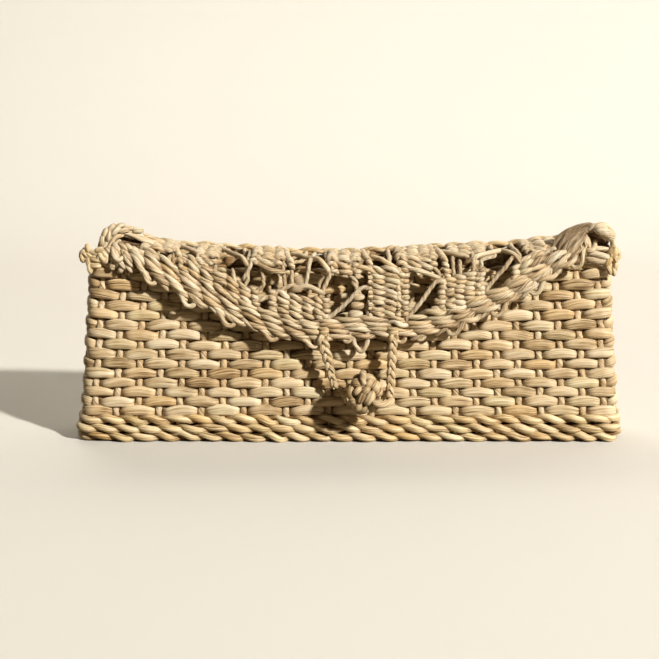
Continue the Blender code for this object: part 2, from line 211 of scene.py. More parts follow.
def unit(vectors):
    return vectors / np.maximum(np.linalg.norm(vectors, axis=-1, keepdims=True), 1e-12)


def points(*coordinates):
    """Points from one array or number per coordinate."""
    return np.stack(np.broadcast_arrays(*coordinates), -1)


def columns_at(places, known, table):
    """Each column of the table, interpolated at the places."""
    return np.stack([np.interp(places, known, column) for column in table.T], -1)


def run_along(path):
    """Distance run at each point of a path."""
    return np.concatenate([[0], np.cumsum(np.linalg.norm(np.diff(path, axis=0), axis=1))])


def length(path):
    return float(np.linalg.norm(np.diff(path, axis=0), axis=1).sum())


def spline(stations, per=24):
    """A smooth curve through the stations, with `per` steps between each two."""
    stations = np.asarray(stations, float)
    before, after = 2 * stations[0] - stations[1], 2 * stations[-1] - stations[-2]
    ext = np.vstack([before, stations, after])
    out = []
    u = np.linspace(0, 1, per, endpoint=False)[:, None]
    for i in range(1, len(ext) - 2):
        p0, p1, p2, p3 = ext[i - 1 : i + 3]
        bend = (2 * p0 - 5 * p1 + 4 * p2 - p3) * u**2 + (3 * p1 - p0 - 3 * p2 + p3) * u**3
        out.append(0.5 * (2 * p1 + (p2 - p0) * u + bend))
    out.append(stations[-1:])
    return np.vstack(out)


def even(path, step):
    """The same path resampled at even steps."""
    path = np.asarray(path, float)
    run = run_along(path)
    count = max(int(round(run[-1] / step)) + 1, 3)
    return columns_at(np.linspace(0, run[-1], count), run, path)


def wander(count, scale, size):
    """A slow random wander: `count` samples, a new knot about every `scale` of them."""
    knot_count = max(int(count / scale) + 3, 4)
    knots = rng.normal(0, size, knot_count)
    place = np.linspace(0, knot_count - 1.001, count)
    knot = place.astype(int)
    blend = place - knot
    blend = blend * blend * (3 - 2 * blend)
    return knots[knot] * (1 - blend) + knots[np.minimum(knot + 1, knot_count - 1)] * blend


# ---- Cords ----------------------------------------------------------------------------------------


class Cords:
    """Swept cords collected into one mesh."""

    def __init__(self):
        self.verts, self.quads, self.tris, self.fib, self.tint = [], [], [], [], []
        self.count = 0

    def add(self, path, normal, wide, thick, sides=10, tone=None, hue=None, crease=0.0, twist=0.0,
            plies=0, groove=0.16, power=1.0, ends=(0.5, 0.5), end_len=0.0015, lumps=0.05, cut=False):
        """Sweeps one cord.

        wide and thick are half sizes, across and along the normal. twist is in turns per metre,
        groove is the depth between plies, and a power below 1 squares the section. Each end narrows
        to its share in `ends` over end_len, unless it is cut square.
        """
        path = np.asarray(path, float)
        count = len(path)
        normal = np.broadcast_to(np.asarray(normal, float), (count, 3))
        tangent = unit(np.gradient(path, axis=0))
        normal = unit(normal - (normal * tangent).sum(1, keepdims=True) * tangent)
        side = np.cross(tangent, normal)
        run = run_along(path)
        wide = np.broadcast_to(np.asarray(wide, float), (count,))
        thick = np.broadcast_to(np.asarray(thick, float), (count,))
        if lumps:
            rate = rng.uniform(110, 190)
            wave = np.sin(run * rate + rng.uniform(0, 6.28))
            swell = 1 + lumps * wave * np.sin(run * rate * 0.37 + rng.uniform(0, 6.28))
            wide = wide * swell
            thick = thick * (2 - swell)
        if not cut:
            for from_end, keep in ((run, ends[0]), (run[-1] - run, ends[1])):
                near = np.clip(from_end / end_len, 0, 1)
                narrow = keep + (1 - keep) * np.sqrt(np.clip(1 - (1 - near) ** 2, 0, 1))
                wide = wide * narrow
                thick = thick * narrow

        angle = 2 * np.pi * (np.arange(sides) + 0.5) / sides
        across, outward = (
            np.sign(part) * np.abs(part) ** power for part in (np.cos(angle), np.sin(angle))
        )
        turn = 2 * np.pi * twist * run + rng.uniform(0, 6.28)
        rolled = angle - turn[:, None]
        grooved = 1 - groove * (0.5 - 0.5 * np.cos(plies * rolled)) ** 2.0
        verts = (
            path[:, None, :]
            + side[:, None, :] * (across * wide[:, None] * grooved)[:, :, None]
            + normal[:, None, :] * (outward * thick[:, None] * grooved)[:, :, None]
        )

        radius = float((wide.mean() + thick.mean()) / 2)
        start = rng.uniform(0, 50)
        shift_y, shift_z = rng.uniform(0, 1, 2)
        fib = points(
            (run + start)[:, None],
            radius * np.cos(rolled) + shift_y,
            radius * np.sin(rolled) + shift_z,
        )
        if tone is None:
            tone = rng.normal(0.56, 0.10)
        if hue is None:
            hue = np.clip(rng.normal(0.42, 0.2), 0, 1)
        # tint holds tone, hue and painted shade for each vertex
        tint = np.empty((count, sides, 3))
        for channel, value in enumerate((tone, hue, crease)):
            tint[:, :, channel] = np.broadcast_to(np.asarray(value, float), (count,))[:, None]
        # painted shade in the grooves between the plies
        tint[:, :, 2] = np.clip(tint[:, :, 2] + (1 - grooved) * 2.6, 0, 1)

        # rings of vertices, then the middles of the two end caps
        first_ring = self.count + np.arange(count - 1)[:, None] * sides
        last_ring = self.count + (count - 1) * sides
        caps = self.count + count * sides
        here = np.arange(sides)
        after = (here + 1) % sides
        low, high = first_ring, first_ring + sides
        quads = np.stack([high + here, high + after, low + after, low + here], -1)
        self.quads.append(quads.reshape(-1, 4))
        self.tris.append(points(self.count + after, self.count + here, caps))
        self.tris.append(points(last_ring + here, last_ring + after, caps + 1))
        self.verts.append(np.concatenate([verts.reshape(-1, 3), path[[0, -1]]]))
        self.fib.append(np.concatenate([fib.reshape(-1, 3), fib[[0, -1]].mean(1)]))
        self.tint.append(np.concatenate([tint.reshape(-1, 3), tint[[0, -1], 0]]))
        self.count += count * sides + 2

    def piece(self, name, material, carrier, replaced=None):
        """Makes the object. carrier is the part it rides; a carrier that is not a name, such as the
        arguments of a blend, is not used, and the object only has its transform baked.
        """
        verts, quads, tris = (np.concatenate(part) for part in (self.verts, self.quads, self.tris))
        mesh = bpy.data.meshes.new(name)
        mesh.vertices.add(len(verts))
        mesh.vertices.foreach_set("co", verts.astype(np.float32).ravel())
        loops = np.concatenate([quads.ravel(), tris.ravel()]).astype(np.int32)
        mesh.loops.add(len(loops))
        mesh.loops.foreach_set("vertex_index", loops)
        sizes = np.concatenate([np.full(len(quads), 4), np.full(len(tris), 3)])
        starts = np.concatenate([[0], np.cumsum(sizes)[:-1]]).astype(np.int32)
        mesh.polygons.add(len(sizes))
        mesh.polygons.foreach_set("loop_start", starts)
        mesh.update(calc_edges=True)
        mesh.validate()
        mesh.shade_smooth()
        for label, data in (("fib", self.fib), ("tint", self.tint)):
            attribute = mesh.attributes.new(label, "FLOAT_VECTOR", "POINT")
            attribute.data.foreach_set("vector", np.concatenate(data).astype(np.float32).ravel())
        mesh.materials.append(material)
        obj = bpy.data.objects.new(name, mesh)
        bpy.context.collection.objects.link(obj)
        if isinstance(carrier, str):
            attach(obj, carrier)
        else:
            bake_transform(obj)
        if replaced:
            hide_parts(replaced)


PAIR = dict(plies=2, groove=0.2, twist=110)  # the usual two-ply stake


def twine(cords, line, along, period, reach, drop, radius, twist, slope=1, phase=0.0, sides=9,
          wobble=0.0002, groove=0.07, swell=0.10, loose=1.0, dark=0.72, cut=False):
    """Two strands wound round each other.

    line is (points, normals, side directions) and along the coordinate that period is measured in.
    reach and drop are the winding's half sizes along the normal and the side. With slope +1 the
    front strands fall to the right.
    """
    path, normal, side = line
    count = len(along)
    for strand in range(2):
        turn = 2 * np.pi * (along / period + strand / 2) + phase
        own = np.random.default_rng(rng.integers(0, 10**6))
        stitch = np.floor(turn / (2 * np.pi) + 0.5).astype(int)
        stitch -= stitch.min()
        stitches = stitch.max() + 1
        front = np.cos(turn)
        facing = np.clip(front, 0, 1) ** 0.5
        lift = own.normal(0, 0.00022 * loose, stitches)[stitch] * facing
        shift = own.normal(0, 0.00024 * loose, stitches)[stitch] * facing
        tilt = own.normal(0, 0.00032 * loose, stitches)[stitch] * np.sin(turn) * facing
        sideways = slope * drop * np.sin(turn) + tilt + shift
        wound = path + normal * (reach * front + lift)[:, None] - side * sideways[:, None]
        wound = wound + side * wander(count, 14, wobble)[:, None]
        wound = wound + normal * wander(count, 14, wobble * 0.6)[:, None]
        tone = own.normal(0.60, 0.115, stitches)[stitch]
        hue = np.clip(own.normal(0.45, 0.22, stitches), 0, 1)[stitch]
        size = 1 + own.normal(0, 0.06, stitches)[stitch] * facing
        half = radius * ((1 + swell * front) * size)
        # painted shade where each strand turns behind the other; dark sets how deep it goes
        crease = np.clip(dark * (0.45 - front), 0, 0.9)
        cords.add(wound, normal, half, half * 0.92, sides=sides, tone=tone, hue=hue, crease=crease,
                  twist=twist, plies=3, groove=groove, cut=cut, end_len=0.002)


# ---- Tub: a ring of stakes with closed rows of weft, on the walls' taper --------------------------
# Stakes are numbered from the front left corner, to the right along the front and on round.
CORNER = 0.0095
FRONT_N, SIDE_N = 24, 2
RIGHT_0 = FRONT_N + 1
BACK_0 = RIGHT_0 + SIDE_N + 1
LEFT_0 = BACK_0 + FRONT_N + 1
RING_N = LEFT_0 + SIDE_N + 1
WALLS = {  # the stakes at the two ends of each wall
    "front": (0, FRONT_N),
    "right": (RIGHT_0, RIGHT_0 + SIDE_N),
    "back": (BACK_0, BACK_0 + FRONT_N),
    "left": (LEFT_0, LEFT_0 + SIDE_N),
}
WALL_NODES = {
    "front": "front_wall",
    "right": "side_wall_right",
    "back": "back_wall",
    "left": "side_wall_left",
}
OUTWARD = ((0, -1), (1, 0), (0, 1), (-1, 0))  # (x, y) of each wall's outward normal

ROWS = 15
ROW0 = WALL_Z0 + 0.0022
ROW_PITCH = (RIM_Z - WALL_Z0 - 0.0010) / 15
WEAVE_DEPTH = 0.0031  # middle of the weave, in from the outer face
WEFT_SWING = 0.0019  # how far a weft swings out and in
SQUARE, SKEW = 3.0, 0.74  # how abruptly a weft turns in, and how much it favours the outside


def rim_rise(x):
    """The rim and flap stand a few millimetres higher at the two ends."""
    return 0.0045 * np.clip(np.abs(x) / 0.155, 0, 1.05) ** 3 - 0.0012 * np.exp(-((x / 0.10) ** 2))


def front_bow(x, z):
    """The front wall leans in towards the middle of its rim, so the flap hangs clear of it."""
    up = np.clip((z - 0.042) / 0.048, 0, 1)
    along = np.clip(1 - (np.abs(x - 0.005) / 0.140) ** 3, 0, 1)
    return 0.0056 * up * up * (3 - 2 * up) * along


def ring(stake, z, inset=0.0):
    """Points and outward normals on the tub, for places counted in stakes and heights z."""
    stake = np.mod(np.asarray(stake, float), RING_N)
    z = np.broadcast_to(np.asarray(z, float), stake.shape)
    half_x = HALF_X_LOW - TAPER_X * (z - WALL_Z0) - inset - CORNER
    half_y = HALF_Y_LOW - TAPER_Y * (z - WALL_Z0) - inset - CORNER
    x, y, normal_x, normal_y = (np.zeros_like(stake) for _ in range(4))
    for k, (first, last) in enumerate(WALLS.values()):
        out_x, out_y = OUTWARD[k]
        next_x, next_y = OUTWARD[(k + 1) % 4]
        here = (stake >= first) & (stake < last)
        across = 2 * (stake[here] - first) / (last - first) - 1
        x[here] = -out_y * half_x[here] * across + out_x * (half_x[here] + CORNER)
        y[here] = out_x * half_y[here] * across + out_y * (half_y[here] + CORNER)
        normal_x[here], normal_y[here] = out_x, out_y
        if k == 0:
            y[here] += front_bow(x[here], z[here])
        # the round corner after this wall; the walls that follow overwrite what lies beyond it
        here = stake >= last
        angle = np.radians(90 * (k - 1) + 90 * (stake[here] - last))
        normal_x[here], normal_y[here] = np.cos(angle), np.sin(angle)
        x[here] = (out_x + next_x) * half_x[here] + CORNER * np.cos(angle)
        y[here] = (out_y + next_y) * half_y[here] + CORNER * np.sin(angle)
    lean = TAPER_Y * np.abs(normal_y) + TAPER_X * np.abs(normal_x)
    return points(x, y, z), unit(points(normal_x, normal_y, lean))


def row_z(k, x):
    """Height of weft row k: rows fan slightly towards the raised ends of the rim."""
    return ROW0 + k * ROW_PITCH + rim_rise(x) * max(k / (ROWS - 1), 0.0) ** 1.6


def weft_ends(wall, k):
    """Rows end in turn at the wall's end stakes and one stake beyond, behind a corner stake."""
    first, last = WALLS[wall]
    beyond = (k + 1 + (wall in ("right", "left"))) % 2
    return first - beyond, last + beyond


def weft(cords, wall, k):
    """Weft row k. Each long pass over a stake is a "brick" with its own bulge, tilt and tone."""
    first, last = weft_ends(wall, k)
    stake = np.linspace(first, last, int(round((last - first) * 14)) + 1)
    level, _ = ring(stake, ROW0 + k * ROW_PITCH)
    path, normal = ring(stake, row_z(k, level[:, 0]))
    wave = np.cos(np.pi * (stake + k))
    swing = np.tanh(SQUARE * (wave + SKEW)) / np.tanh(SQUARE * (1 + SKEW))
    over = np.clip(swing, 0, 1)
    count = RING_N // 2
    brick = np.floor((stake + k + 1) / 2.0).astype(int) % count
    across = np.mod(stake + k + 1, 2.0) - 1.0
    # where the strand turns in behind the next stake it spreads
    behind = np.clip((np.abs(across) - 0.77) / 0.08, 0, 1)
    across = np.clip(across / 0.86, -1, 1)

    own = np.random.default_rng(1000 + k)
    height_change = own.normal(0, 0.045, count)[brick]
    shift_z = own.normal(0, 0.00022, count)[brick] * over
    tilt = own.normal(0, 0.00040, count)[brick] * across * over
    bulge = own.normal(0, 0.00028, count)[brick] * over
    lean = own.normal(0, 0.16, count)[brick]
    tone = own.normal(0.60, 0.115, count)
    tone[own.uniform(size=count) < 0.07] -= 0.16  # a few darker bricks
    hue = np.clip(own.normal(0.42, 0.24, count), 0, 1)
    row_tone = own.normal(0, 0.03)

    path = path + normal * (-WEAVE_DEPTH + WEFT_SWING * swing + bulge)[:, None]
    crown = 1 - across**2
    path[:, 2] += shift_z + tilt + (0.00155 * crown - 0.00090) * (1 - behind)
    tall = 0.00342 * (1 + height_change)
    tall = tall * (0.62 + 0.38 * np.clip(1 - (across - 0.5 * lean) ** 2, 0, 1) ** 0.8)
    tall = tall * (1 - 0.12 * np.clip(-across, 0, 1) ** 2)
    tall = tall * (1 - behind) + 0.00410 * behind
    thick = 0.00150 * (0.80 + 0.30 * over * np.sqrt(np.clip(crown, 0, 1)))
    # painted shade: darker where the weft turns in behind a stake, and on each brick's left end, the
    # side turned from the key light
    crease = 0.80 * (1 - np.clip((wave + 0.93) / 0.34, 0, 1)) + 0.04
    crease = crease + 0.34 * np.clip((-across - 0.40) / 0.6, 0, 1)
    twist = own.choice([1.5, 3.0, 5.0]) * (1 if own.uniform() < 0.8 else -1)
    cords.add(path, normal, tall, thick, sides=12, tone=tone[brick] + row_tone, hue=hue[brick],
              crease=np.clip(crease, 0, 0.85), twist=twist, plies=3, groove=0.07, power=0.84,
              cut=True, lumps=0.0)


def shade_backing(cords, wall, k):
    """A flat strand behind the small gap between rows k and k + 1, darkened by painted shade so the gap
    reads as shadow.
    """
    first, last = weft_ends(wall, k)
    stake = np.linspace(first, last, int(round((last - first) * 3)) + 1)
    level, _ = ring(stake, ROW0 + k * ROW_PITCH)
    path, normal = ring(stake, 0.5 * (row_z(k, level[:, 0]) + row_z(k + 1, level[:, 0])))
    cords.add(path - normal * (WEAVE_DEPTH + 0.0013), normal, 0.0019, 0.0005, sides=6,
              crease=0.85, tone=0.5, cut=True, lumps=0.0)


def stake_top(i):
    """Stakes stand above the last row, higher at the back."""
    x, y, _ = ring([float(i)], RIM_Z)[0][0]
    return float(row_z(ROWS - 1, x)) + (0.0095 if y > 0.012 else 0.0045)


def stakes_piece(name, ids, replaced=None):
    cords = Cords()
    for i in ids:
        low = WALL_Z0 - 0.012
        top = stake_top(i)
        count = int((top - low) / ROW_PITCH * 6) + 2
        z = np.linspace(low, top, count)
        path, normal = ring(np.full(count, float(i)), z)
        row = (z - row_z(0, path[0, 0])) / ROW_PITCH
        wave = np.cos(np.pi * (i + row))
        path = path + normal * (-WEAVE_DEPTH - 0.00110 * wave + 0.0001)[:, None]
        path += np.cross(normal, [0, 0, 1]) * wander(count, 9, 0.00032)[:, None]
        # painted shade where the stake passes behind a weft
        hidden = np.clip(wave, 0, 1)
        cords.add(path, normal, 0.00192 * (1 + 0.08 * (1 - hidden)), 0.00134,
                  tone=rng.normal(0.62, 0.09) + wander(count, 12, 0.05), crease=0.15 * hidden,
                  twist=rng.uniform(85, 110), plies=2, groove=0.20, lumps=0.04, end_len=0.0012)
    cords.piece(name, MAT_STAKE, "tub", replaced)


for wall, (first, last) in WALLS.items():
    rows = ROWS + 1 if wall == "back" else ROWS
    cords = Cords()
    for k in range(rows):
        weft(cords, wall, k)
    # painted shade strands behind the gaps between rows
    for k in range(-1, rows - 1):
        shade_backing(cords, wall, k)
    cords.piece("weft_rows_" + wall, MAT_WEFT, "tub", WALL_NODES[wall])
    stakes_piece("stakes_" + wall, range(first + 1, last))


def upright_line(stake, z, inset):
    """A line round the tub for twine, facing level outwards."""
    path, normal = ring(stake, z, inset)
    return path, unit(normal * np.array([1, 1, 0])), np.array([0.0, 0.0, 1.0])


# three ropes round the base: height and inset
for k, (row, z, inset) in enumerate((
    ("lower", 0.0030, 0.0016), ("middle", 0.0083, 0.0010), ("upper", 0.0137, 0.0012),
)):
    cords = Cords()
    stake = np.linspace(0, RING_N, RING_N * 14 + 1) + 38.0
    twine(cords, upright_line(stake, z, inset), stake, period=2.08, reach=0.00150, drop=0.00135,
          radius=0.00180, phase=2.2 * k, sides=10, twist=12, swell=0.30, cut=True, loose=1.8,
          dark=0.95)
    cords.piece("base_rope_" + row, MAT_ROPE, "tub", "base_border_" + row)


def floor_mat():
    """Six wefts along x, woven over 25 stakes across the tub's floor."""
    low, high = corners("base_panel")
    x0, x_span = low[0] + 0.001, high[0] - low[0] - 0.002
    y0, y_span = low[1] + 0.003, high[1] - low[1] - 0.006
    rows, gaps, mid_z = 6, 24, 0.0022
    cords = Cords()
    for k in range(rows):
        count = gaps * 12 + 1
        stake = np.linspace(0, gaps, count)
        wave = np.tanh(1.4 * np.cos(np.pi * (stake + k))) / np.tanh(1.4)
        y = y0 + y_span * k / (rows - 1) + wander(count, 30, 0.0002)
        path = points(x0 + x_span * stake / gaps, y, mid_z - 0.0010 * wave)
        cords.add(path, (0, 0, -1), 0.0031, 0.0009, tone=0.5 + wander(count, 25, 0.08), twist=25,
                  plies=3, groove=0.07, power=0.85)
    for i in range(gaps + 1):
        y = np.linspace(low[1] + 0.0005, high[1] - 0.0005, 40)
        row = (y - y0) / y_span * (rows - 1)
        path = points(x0 + x_span * i / gaps, y, mid_z + 0.0007 * np.cos(np.pi * (i + row)))
        cords.add(path, (0, 0, -1), 0.0014, 0.0009, sides=8, tone=rng.normal(0.5, 0.08), **PAIR)
    cords.piece("floor_mat", MAT_BASE, "tub", "base_panel")


floor_mat()

for name, ids in (
    ("front_right", (WALLS["front"][1], RIGHT_0)),
    ("back_right", (WALLS["right"][1], BACK_0)),
    ("back_left", (WALLS["back"][1], LEFT_0)),
    ("front_left", (WALLS["left"][1], RING_N)),
):
    stakes_piece("corner_stakes_" + name, ids, "corner_cord_" + name)

# rim ropes: where they start and end, in stakes
for name, first, last in (
    ("front", -0.5, FRONT_N + 0.5),
    ("right", FRONT_N + 0.5, WALLS["right"][1] + 0.6),
    ("left", WALLS["back"][1] + 0.4, RING_N - 0.5),
):
    cords = Cords()
    stake = np.linspace(first, last, int((last - first) * 12) + 1)
    level, _ = ring(stake, RIM_Z)
    line = upright_line(stake, row_z(ROWS - 1, level[:, 0]) + 0.0042, 0.0030)
    twine(cords, line, stake, period=2.0, reach=0.0013, drop=0.0011, radius=0.00145, twist=50)
    cords.piece("rim_rope_" + name, MAT_ROPE, "tub", "rim_cord_" + name)

# ---- Flap surface ---------------------------------------------------------------------------------
# A spot on the flap is (x, down): down runs forward and down from the fold, negative over the mouth.
FOLD_R = 0.0045
FRONT_Y = FOLD_Y + 0.0010
DOWN_HINGE = -0.0390
DOWN_ARC = 0.0035  # half the fold's run
ACROSS_FOLD = (
    "flap_bridge", "flap_drop",
    (0, FOLD_Y + 0.0060, FOLD_Z + 0.001), (0, FOLD_Y - 0.0005, FOLD_Z - 0.0075),
)
CREST_X = (-0.150, -0.130, -0.114, -0.090, -0.068, -0.03, 0,
           0.031, 0.062, 0.093, 0.112, 0.130, 0.150)
CREST_Z = (0.0042, 0.0040, 0.0032, 0.0024, 0.0016, 0, 0,
           0.0014, 0.0026, 0.0026, 0.0040, 0.0048, 0.0052)


def bridge_z(x, down):
    """Height of the part over the mouth. Its extra rise is gone by the time the flap hangs."""
    rise = np.interp(x, CREST_X, CREST_Z)
    share = np.clip((0.006 - down) / 0.022, 0, 1)
    return HINGE_Z + 0.0005 + rim_rise(x) + rise * share * share * (3 - 2 * share)


def flap(x, down):
    """Points and outward normals on the flap."""
    x, down = np.broadcast_arrays(np.asarray(x, float), np.asarray(down, float))
    z = bridge_z(x, down)
    y, normal_y, normal_z = (np.empty_like(down) for _ in range(3))
    arc_y = FRONT_Y + FOLD_R

    bridge = down < -DOWN_ARC
    share = (down[bridge] - DOWN_HINGE) / (-DOWN_ARC - DOWN_HINGE)
    y[bridge] = HINGE_Y - (HINGE_Y - arc_y) * share
    normal_y[bridge], normal_z[bridge] = 0, 1

    fold = (down >= -DOWN_ARC) & (down < DOWN_ARC)
    angle = (down[fold] + DOWN_ARC) / (2 * DOWN_ARC) * np.pi / 2
    y[fold] = arc_y - FOLD_R * np.sin(angle)
    z[fold] -= FOLD_R * (1 - np.cos(angle))
    normal_y[fold], normal_z[fold] = -np.sin(angle), np.cos(angle)

    drop = down >= DOWN_ARC
    hang = down[drop]
    z[drop] -= FOLD_R + (hang - DOWN_ARC)
    wall = HALF_Y_LOW - TAPER_Y * (z[drop] - WALL_Z0)
    clear = 0.0040 + 0.0022 * (hang / 0.05) ** 2
    clear = clear + 0.0013 * np.sin(np.pi * np.clip(hang / 0.046, 0, 1))
    y[drop] = np.minimum(-wall - clear, FRONT_Y)
    normal_y[drop], normal_z[drop] = -1, 0.05
    return points(x, y, z), unit(points(0, normal_y, normal_z))


def on_flap(spots, lift=0.0):
    path, normal = flap(spots[:, 0], spots[:, 1])
    return path + normal * np.broadcast_to(lift, (len(spots),))[:, None], normal


# The hanging edge from the left ear round to the right ear: (x, down) in mm.
EDGE_STATIONS = np.array([
    (-153, -22), (-148.5, -12), (-137, -2.0), (-125, 5.5), (-113.7, 12), (-92.4, 23), (-68.7, 34),
    (-45, 41.5), (-24, 45.0), (-10, 44.6), (6.5, 43.4), (20, 43.2), (32, 43.6), (56.7, 39.0),
    (81, 29.5), (103.5, 18.5), (123.5, 7), (137, -1.5), (148, -11), (153, -21),
], float) * MM
EDGE_LINE = even(spline(EDGE_STATIONS), 0.0010)
EDGE_TANGENT = unit(np.gradient(EDGE_LINE, axis=0))
EDGE_INWARD = points(EDGE_TANGENT[:, 1], -EDGE_TANGENT[:, 0])  # towards the hinge
EDGE_RUN = np.arange(len(EDGE_LINE)) * 0.0010
PITCH = 0.0128
ROW_STEP, ROW_FIRST = 0.0032, 0.0017


def edge_at(run):
    """Spots on the edge and their inward directions."""
    return columns_at(run, EDGE_RUN, EDGE_LINE), unit(columns_at(run, EDGE_RUN, EDGE_INWARD))


def inset_row(j, x0, x1, crowded=False):
    """The part of the j-th row in from the edge between x0 and x1, and its inward directions."""
    spots, inward = edge_at(EDGE_RUN)
    x = spots[:, 0]
    inset = (ROW_FIRST + ROW_STEP * j) * (1 - 0.22 * np.clip((x - 0.045) / 0.05, 0, 1))
    if crowded:  # rows crowd together where they climb to the ears
        inset = inset * (1 - 0.30 * np.clip((np.abs(x) - 0.132) / 0.02, 0, 1))
    spots = spots + inward * inset[:, None]
    keep = (spots[:, 0] >= x0) & (spots[:, 0] <= x1)
    return spots[keep], inward[keep]


def flap_line(spots, inward, along, lift):
    """A line of spots for twine, resampled at along (0 to 1)."""
    known = np.linspace(0, 1, len(spots))
    here = columns_at(along, known, spots)
    path, normal = on_flap(here, lift)
    ahead, _ = on_flap(here + columns_at(along, known, inward) * 0.0004, lift)
    return path, normal, unit(ahead - path)


# ---- Flap: the four ropes along the edge ----------------------------------------------------------
for j in range(4):
    spots, inward = inset_row(j, -0.1345 + 0.0030 * j, 0.1385 - 0.0030 * j, crowded=True)
    run = length(spots)
    along = np.linspace(0, 1, int(run / 0.0010))
    line = flap_line(spots, inward, along, 0.0004 + 0.00025 * (3 - j))
    stout = 0.00146 * (1 + 0.22 * np.clip((-line[0][:, 0] - 0.085) / 0.03, 0, 1))
    cords = Cords()
    twine(cords, line, along, period=2 * PITCH / run, reach=0.00140, drop=0.00100, radius=stout,
          phase=1.4 * j + 0.5, sides=10, wobble=0.00040, twist=40, groove=0.09, swell=0.16,
          loose=1.8, dark=0.8)
    cords.piece(f"flap_rope_{j + 1}", MAT_FLAP, ACROSS_FOLD,
                f"flap_border_row_{j + 1}")

# ---- Flap: dense woven blocks ---------------------------------------------------------------------
BLOCK_LIFT = 0.0006


def end_bead(cords, spots, end, along):
    """A strand turning back round an edge stake at one end of a row, seen as a bead."""
    (centre,), (normal,) = on_flap(spots[[end]], BLOCK_LIFT)
    turn_r = 0.0016
    angle = np.radians(np.linspace(-115, 115, 11))
    outward, forward = np.outer(np.cos(angle), normal), np.outer(np.sin(angle), along)
    # painted shade towards the bead's ends, where it turns under
    cords.add(centre + outward * turn_r * 0.9 + forward * turn_r, outward + forward,
              0.00150, 0.00150 * 0.9, tone=rng.normal(0.62, 0.1), twist=40, plies=3, groove=0.08,
              crease=np.abs(np.sin(angle)) ** 3 * 0.45, end_len=0.0008, ends=(0.6, 0.6))


def block_row(cords, spots, inward, stake_gap, **shape):
    run = length(spots)
    along = np.linspace(0, 1, max(int(run / 0.0009), 8))
    twine(cords, flap_line(spots, inward, along, BLOCK_LIFT), along, period=2 * stake_gap / run,
          wobble=0.00030, twist=40, groove=0.09, swell=0.18, loose=1.6, dark=0.8, **shape)


def edge_block(cords, x0, x1, top, stake_gap, left_bead, right_bead):
    """A block of rows that follow the edge, from inside the four ropes up to `top`."""
    rows = []
    for j in range(4, 30):
        spots, inward = inset_row(j, x0, x1)
        if len(spots) < 6:
            continue
        if np.mean(spots[:, 1]) < top:
            break
        rows.append((spots, inward))
    for k, (spots, inward) in enumerate(rows):
        if length(spots) < 0.006:
            continue
        block_row(cords, spots, inward, stake_gap, reach=0.00135, drop=0.00080, radius=0.00142,
                  phase=np.pi * k + 0.4)
        (first, last), _ = on_flap(spots[[0, -1]], BLOCK_LIFT)
        along = unit(last - first)
        if left_bead:
            end_bead(cords, spots, 0, -along)
        if right_bead:
            end_bead(cords, spots, -1, along)


def level_block(cords, x0, x1, bottom):
    """A block of rows level with the hinge, from the hinge down to `bottom`."""
    down = -33.2 * MM
    k = 0
    while down < bottom:
        count = max(int((x1 - x0) / 0.001), 6)
        shift = rng.normal(0, 0.0006, 2)
        x = np.linspace(x0 + shift[0], x1 + shift[1], count)
        spots = points(x, down + 0.0010 * np.sin((x - x0) / (x1 - x0) * 2.4))
        inward = np.tile([0.0, -1.0], (count, 1))
        block_row(cords, spots, inward, 0.0075, reach=0.00130, drop=0.00085, radius=0.00145,
                  phase=np.pi * k)
        end_bead(cords, spots, 0, (-1.0, 0.0, 0.0))
        end_bead(cords, spots, -1, (1.0, 0.0, 0.0))
        down += 0.0033 * rng.uniform(0.93, 1.07)
        k += 1


cords = Cords()
for x0, x1, top, stake_gap, left_bead, right_bead in (  # mm
    (-100, -56, 6.0, 8.5, False, True),
    (-47, -14, 16.5, 7.2, True, True),
    (10, 33, 3.0, 5.8, False, True),
    (54, 78, 6.5, 6.0, True, True),
    (97, 119, -3.0, 8.5, True, False),
    (-136, -101, -8.0, 8.5, False, False),
    (119, 137, -9.0, 8.5, False, False),
):
    edge_block(cords, x0 * MM, x1 * MM, top * MM, stake_gap * MM, left_bead, right_bead)
cords.piece("flap_dense_blocks", MAT_FLAP, ACROSS_FOLD, "flap_drop_panel")

cords = Cords()
for x0, x1, bottom in (  # mm
    (-56.5, -42, 0.5), (-11, 3.5, 4.0), (30, 49, 1.5), (61, 79, -9.0), (-90, -81, 1.0),
    (106, 122, -5.0), (-124, -106, -9.0),
):
    level_block(cords, x0 * MM, x1 * MM, bottom * MM)
cords.piece("flap_bridge_blocks", MAT_FLAP, ACROSS_FOLD, "flap_bridge_panel")

# ---- Flap: bead columns beside the windows --------------------------------------------------------
cords = Cords()
for x, down, radius, width in (  # mm
    (4.8, 19.0, 2.0, 5.6), (4.2, 24.0, 2.15, 6.4), (3.2, 29.2, 2.3, 7.0), (53.0, 22.0, 2.0, 5.2),
    (51.6, 27.0, 2.2, 6.2), (76.5, 8.5, 1.8, 3.6), (77.5, 12.2, 1.9, 3.6), (78.6, 15.8, 1.9, 3.4),
    (29.0, 7.0, 1.9, 4.0), (29.5, 11.0, 1.9, 4.0),
):
    (centre,), (normal,) = on_flap(np.array([[x * MM, down * MM]]), 0.0012)
    share = np.linspace(-1, 1, 11)
    angle = share * 1.25
    path = centre + np.outer(np.sin(angle) * (width + 1.8) * 0.5 * MM, [1, 0, 0])
    path = path + np.outer((np.cos(angle) - 1) * 0.0017, normal)
    facing = np.outer(np.sin(angle) * 0.7, [1, 0, 0]) + np.outer(np.cos(angle), normal)
    # painted shade at the bead's ends, where it curves in
    cords.add(path, facing, radius * MM * 1.20, radius * MM * 0.90, sides=12, twist=30, plies=3,
              groove=0.16, ends=(0.25, 0.25), end_len=0.0038, tone=rng.normal(0.64, 0.1),
              crease=0.35 * np.abs(share) ** 3)
cords.piece("flap_bead_columns", MAT_FLAP, "flap_drop")

# ---- Flap: free cords -----------------------------------------------------------------------------


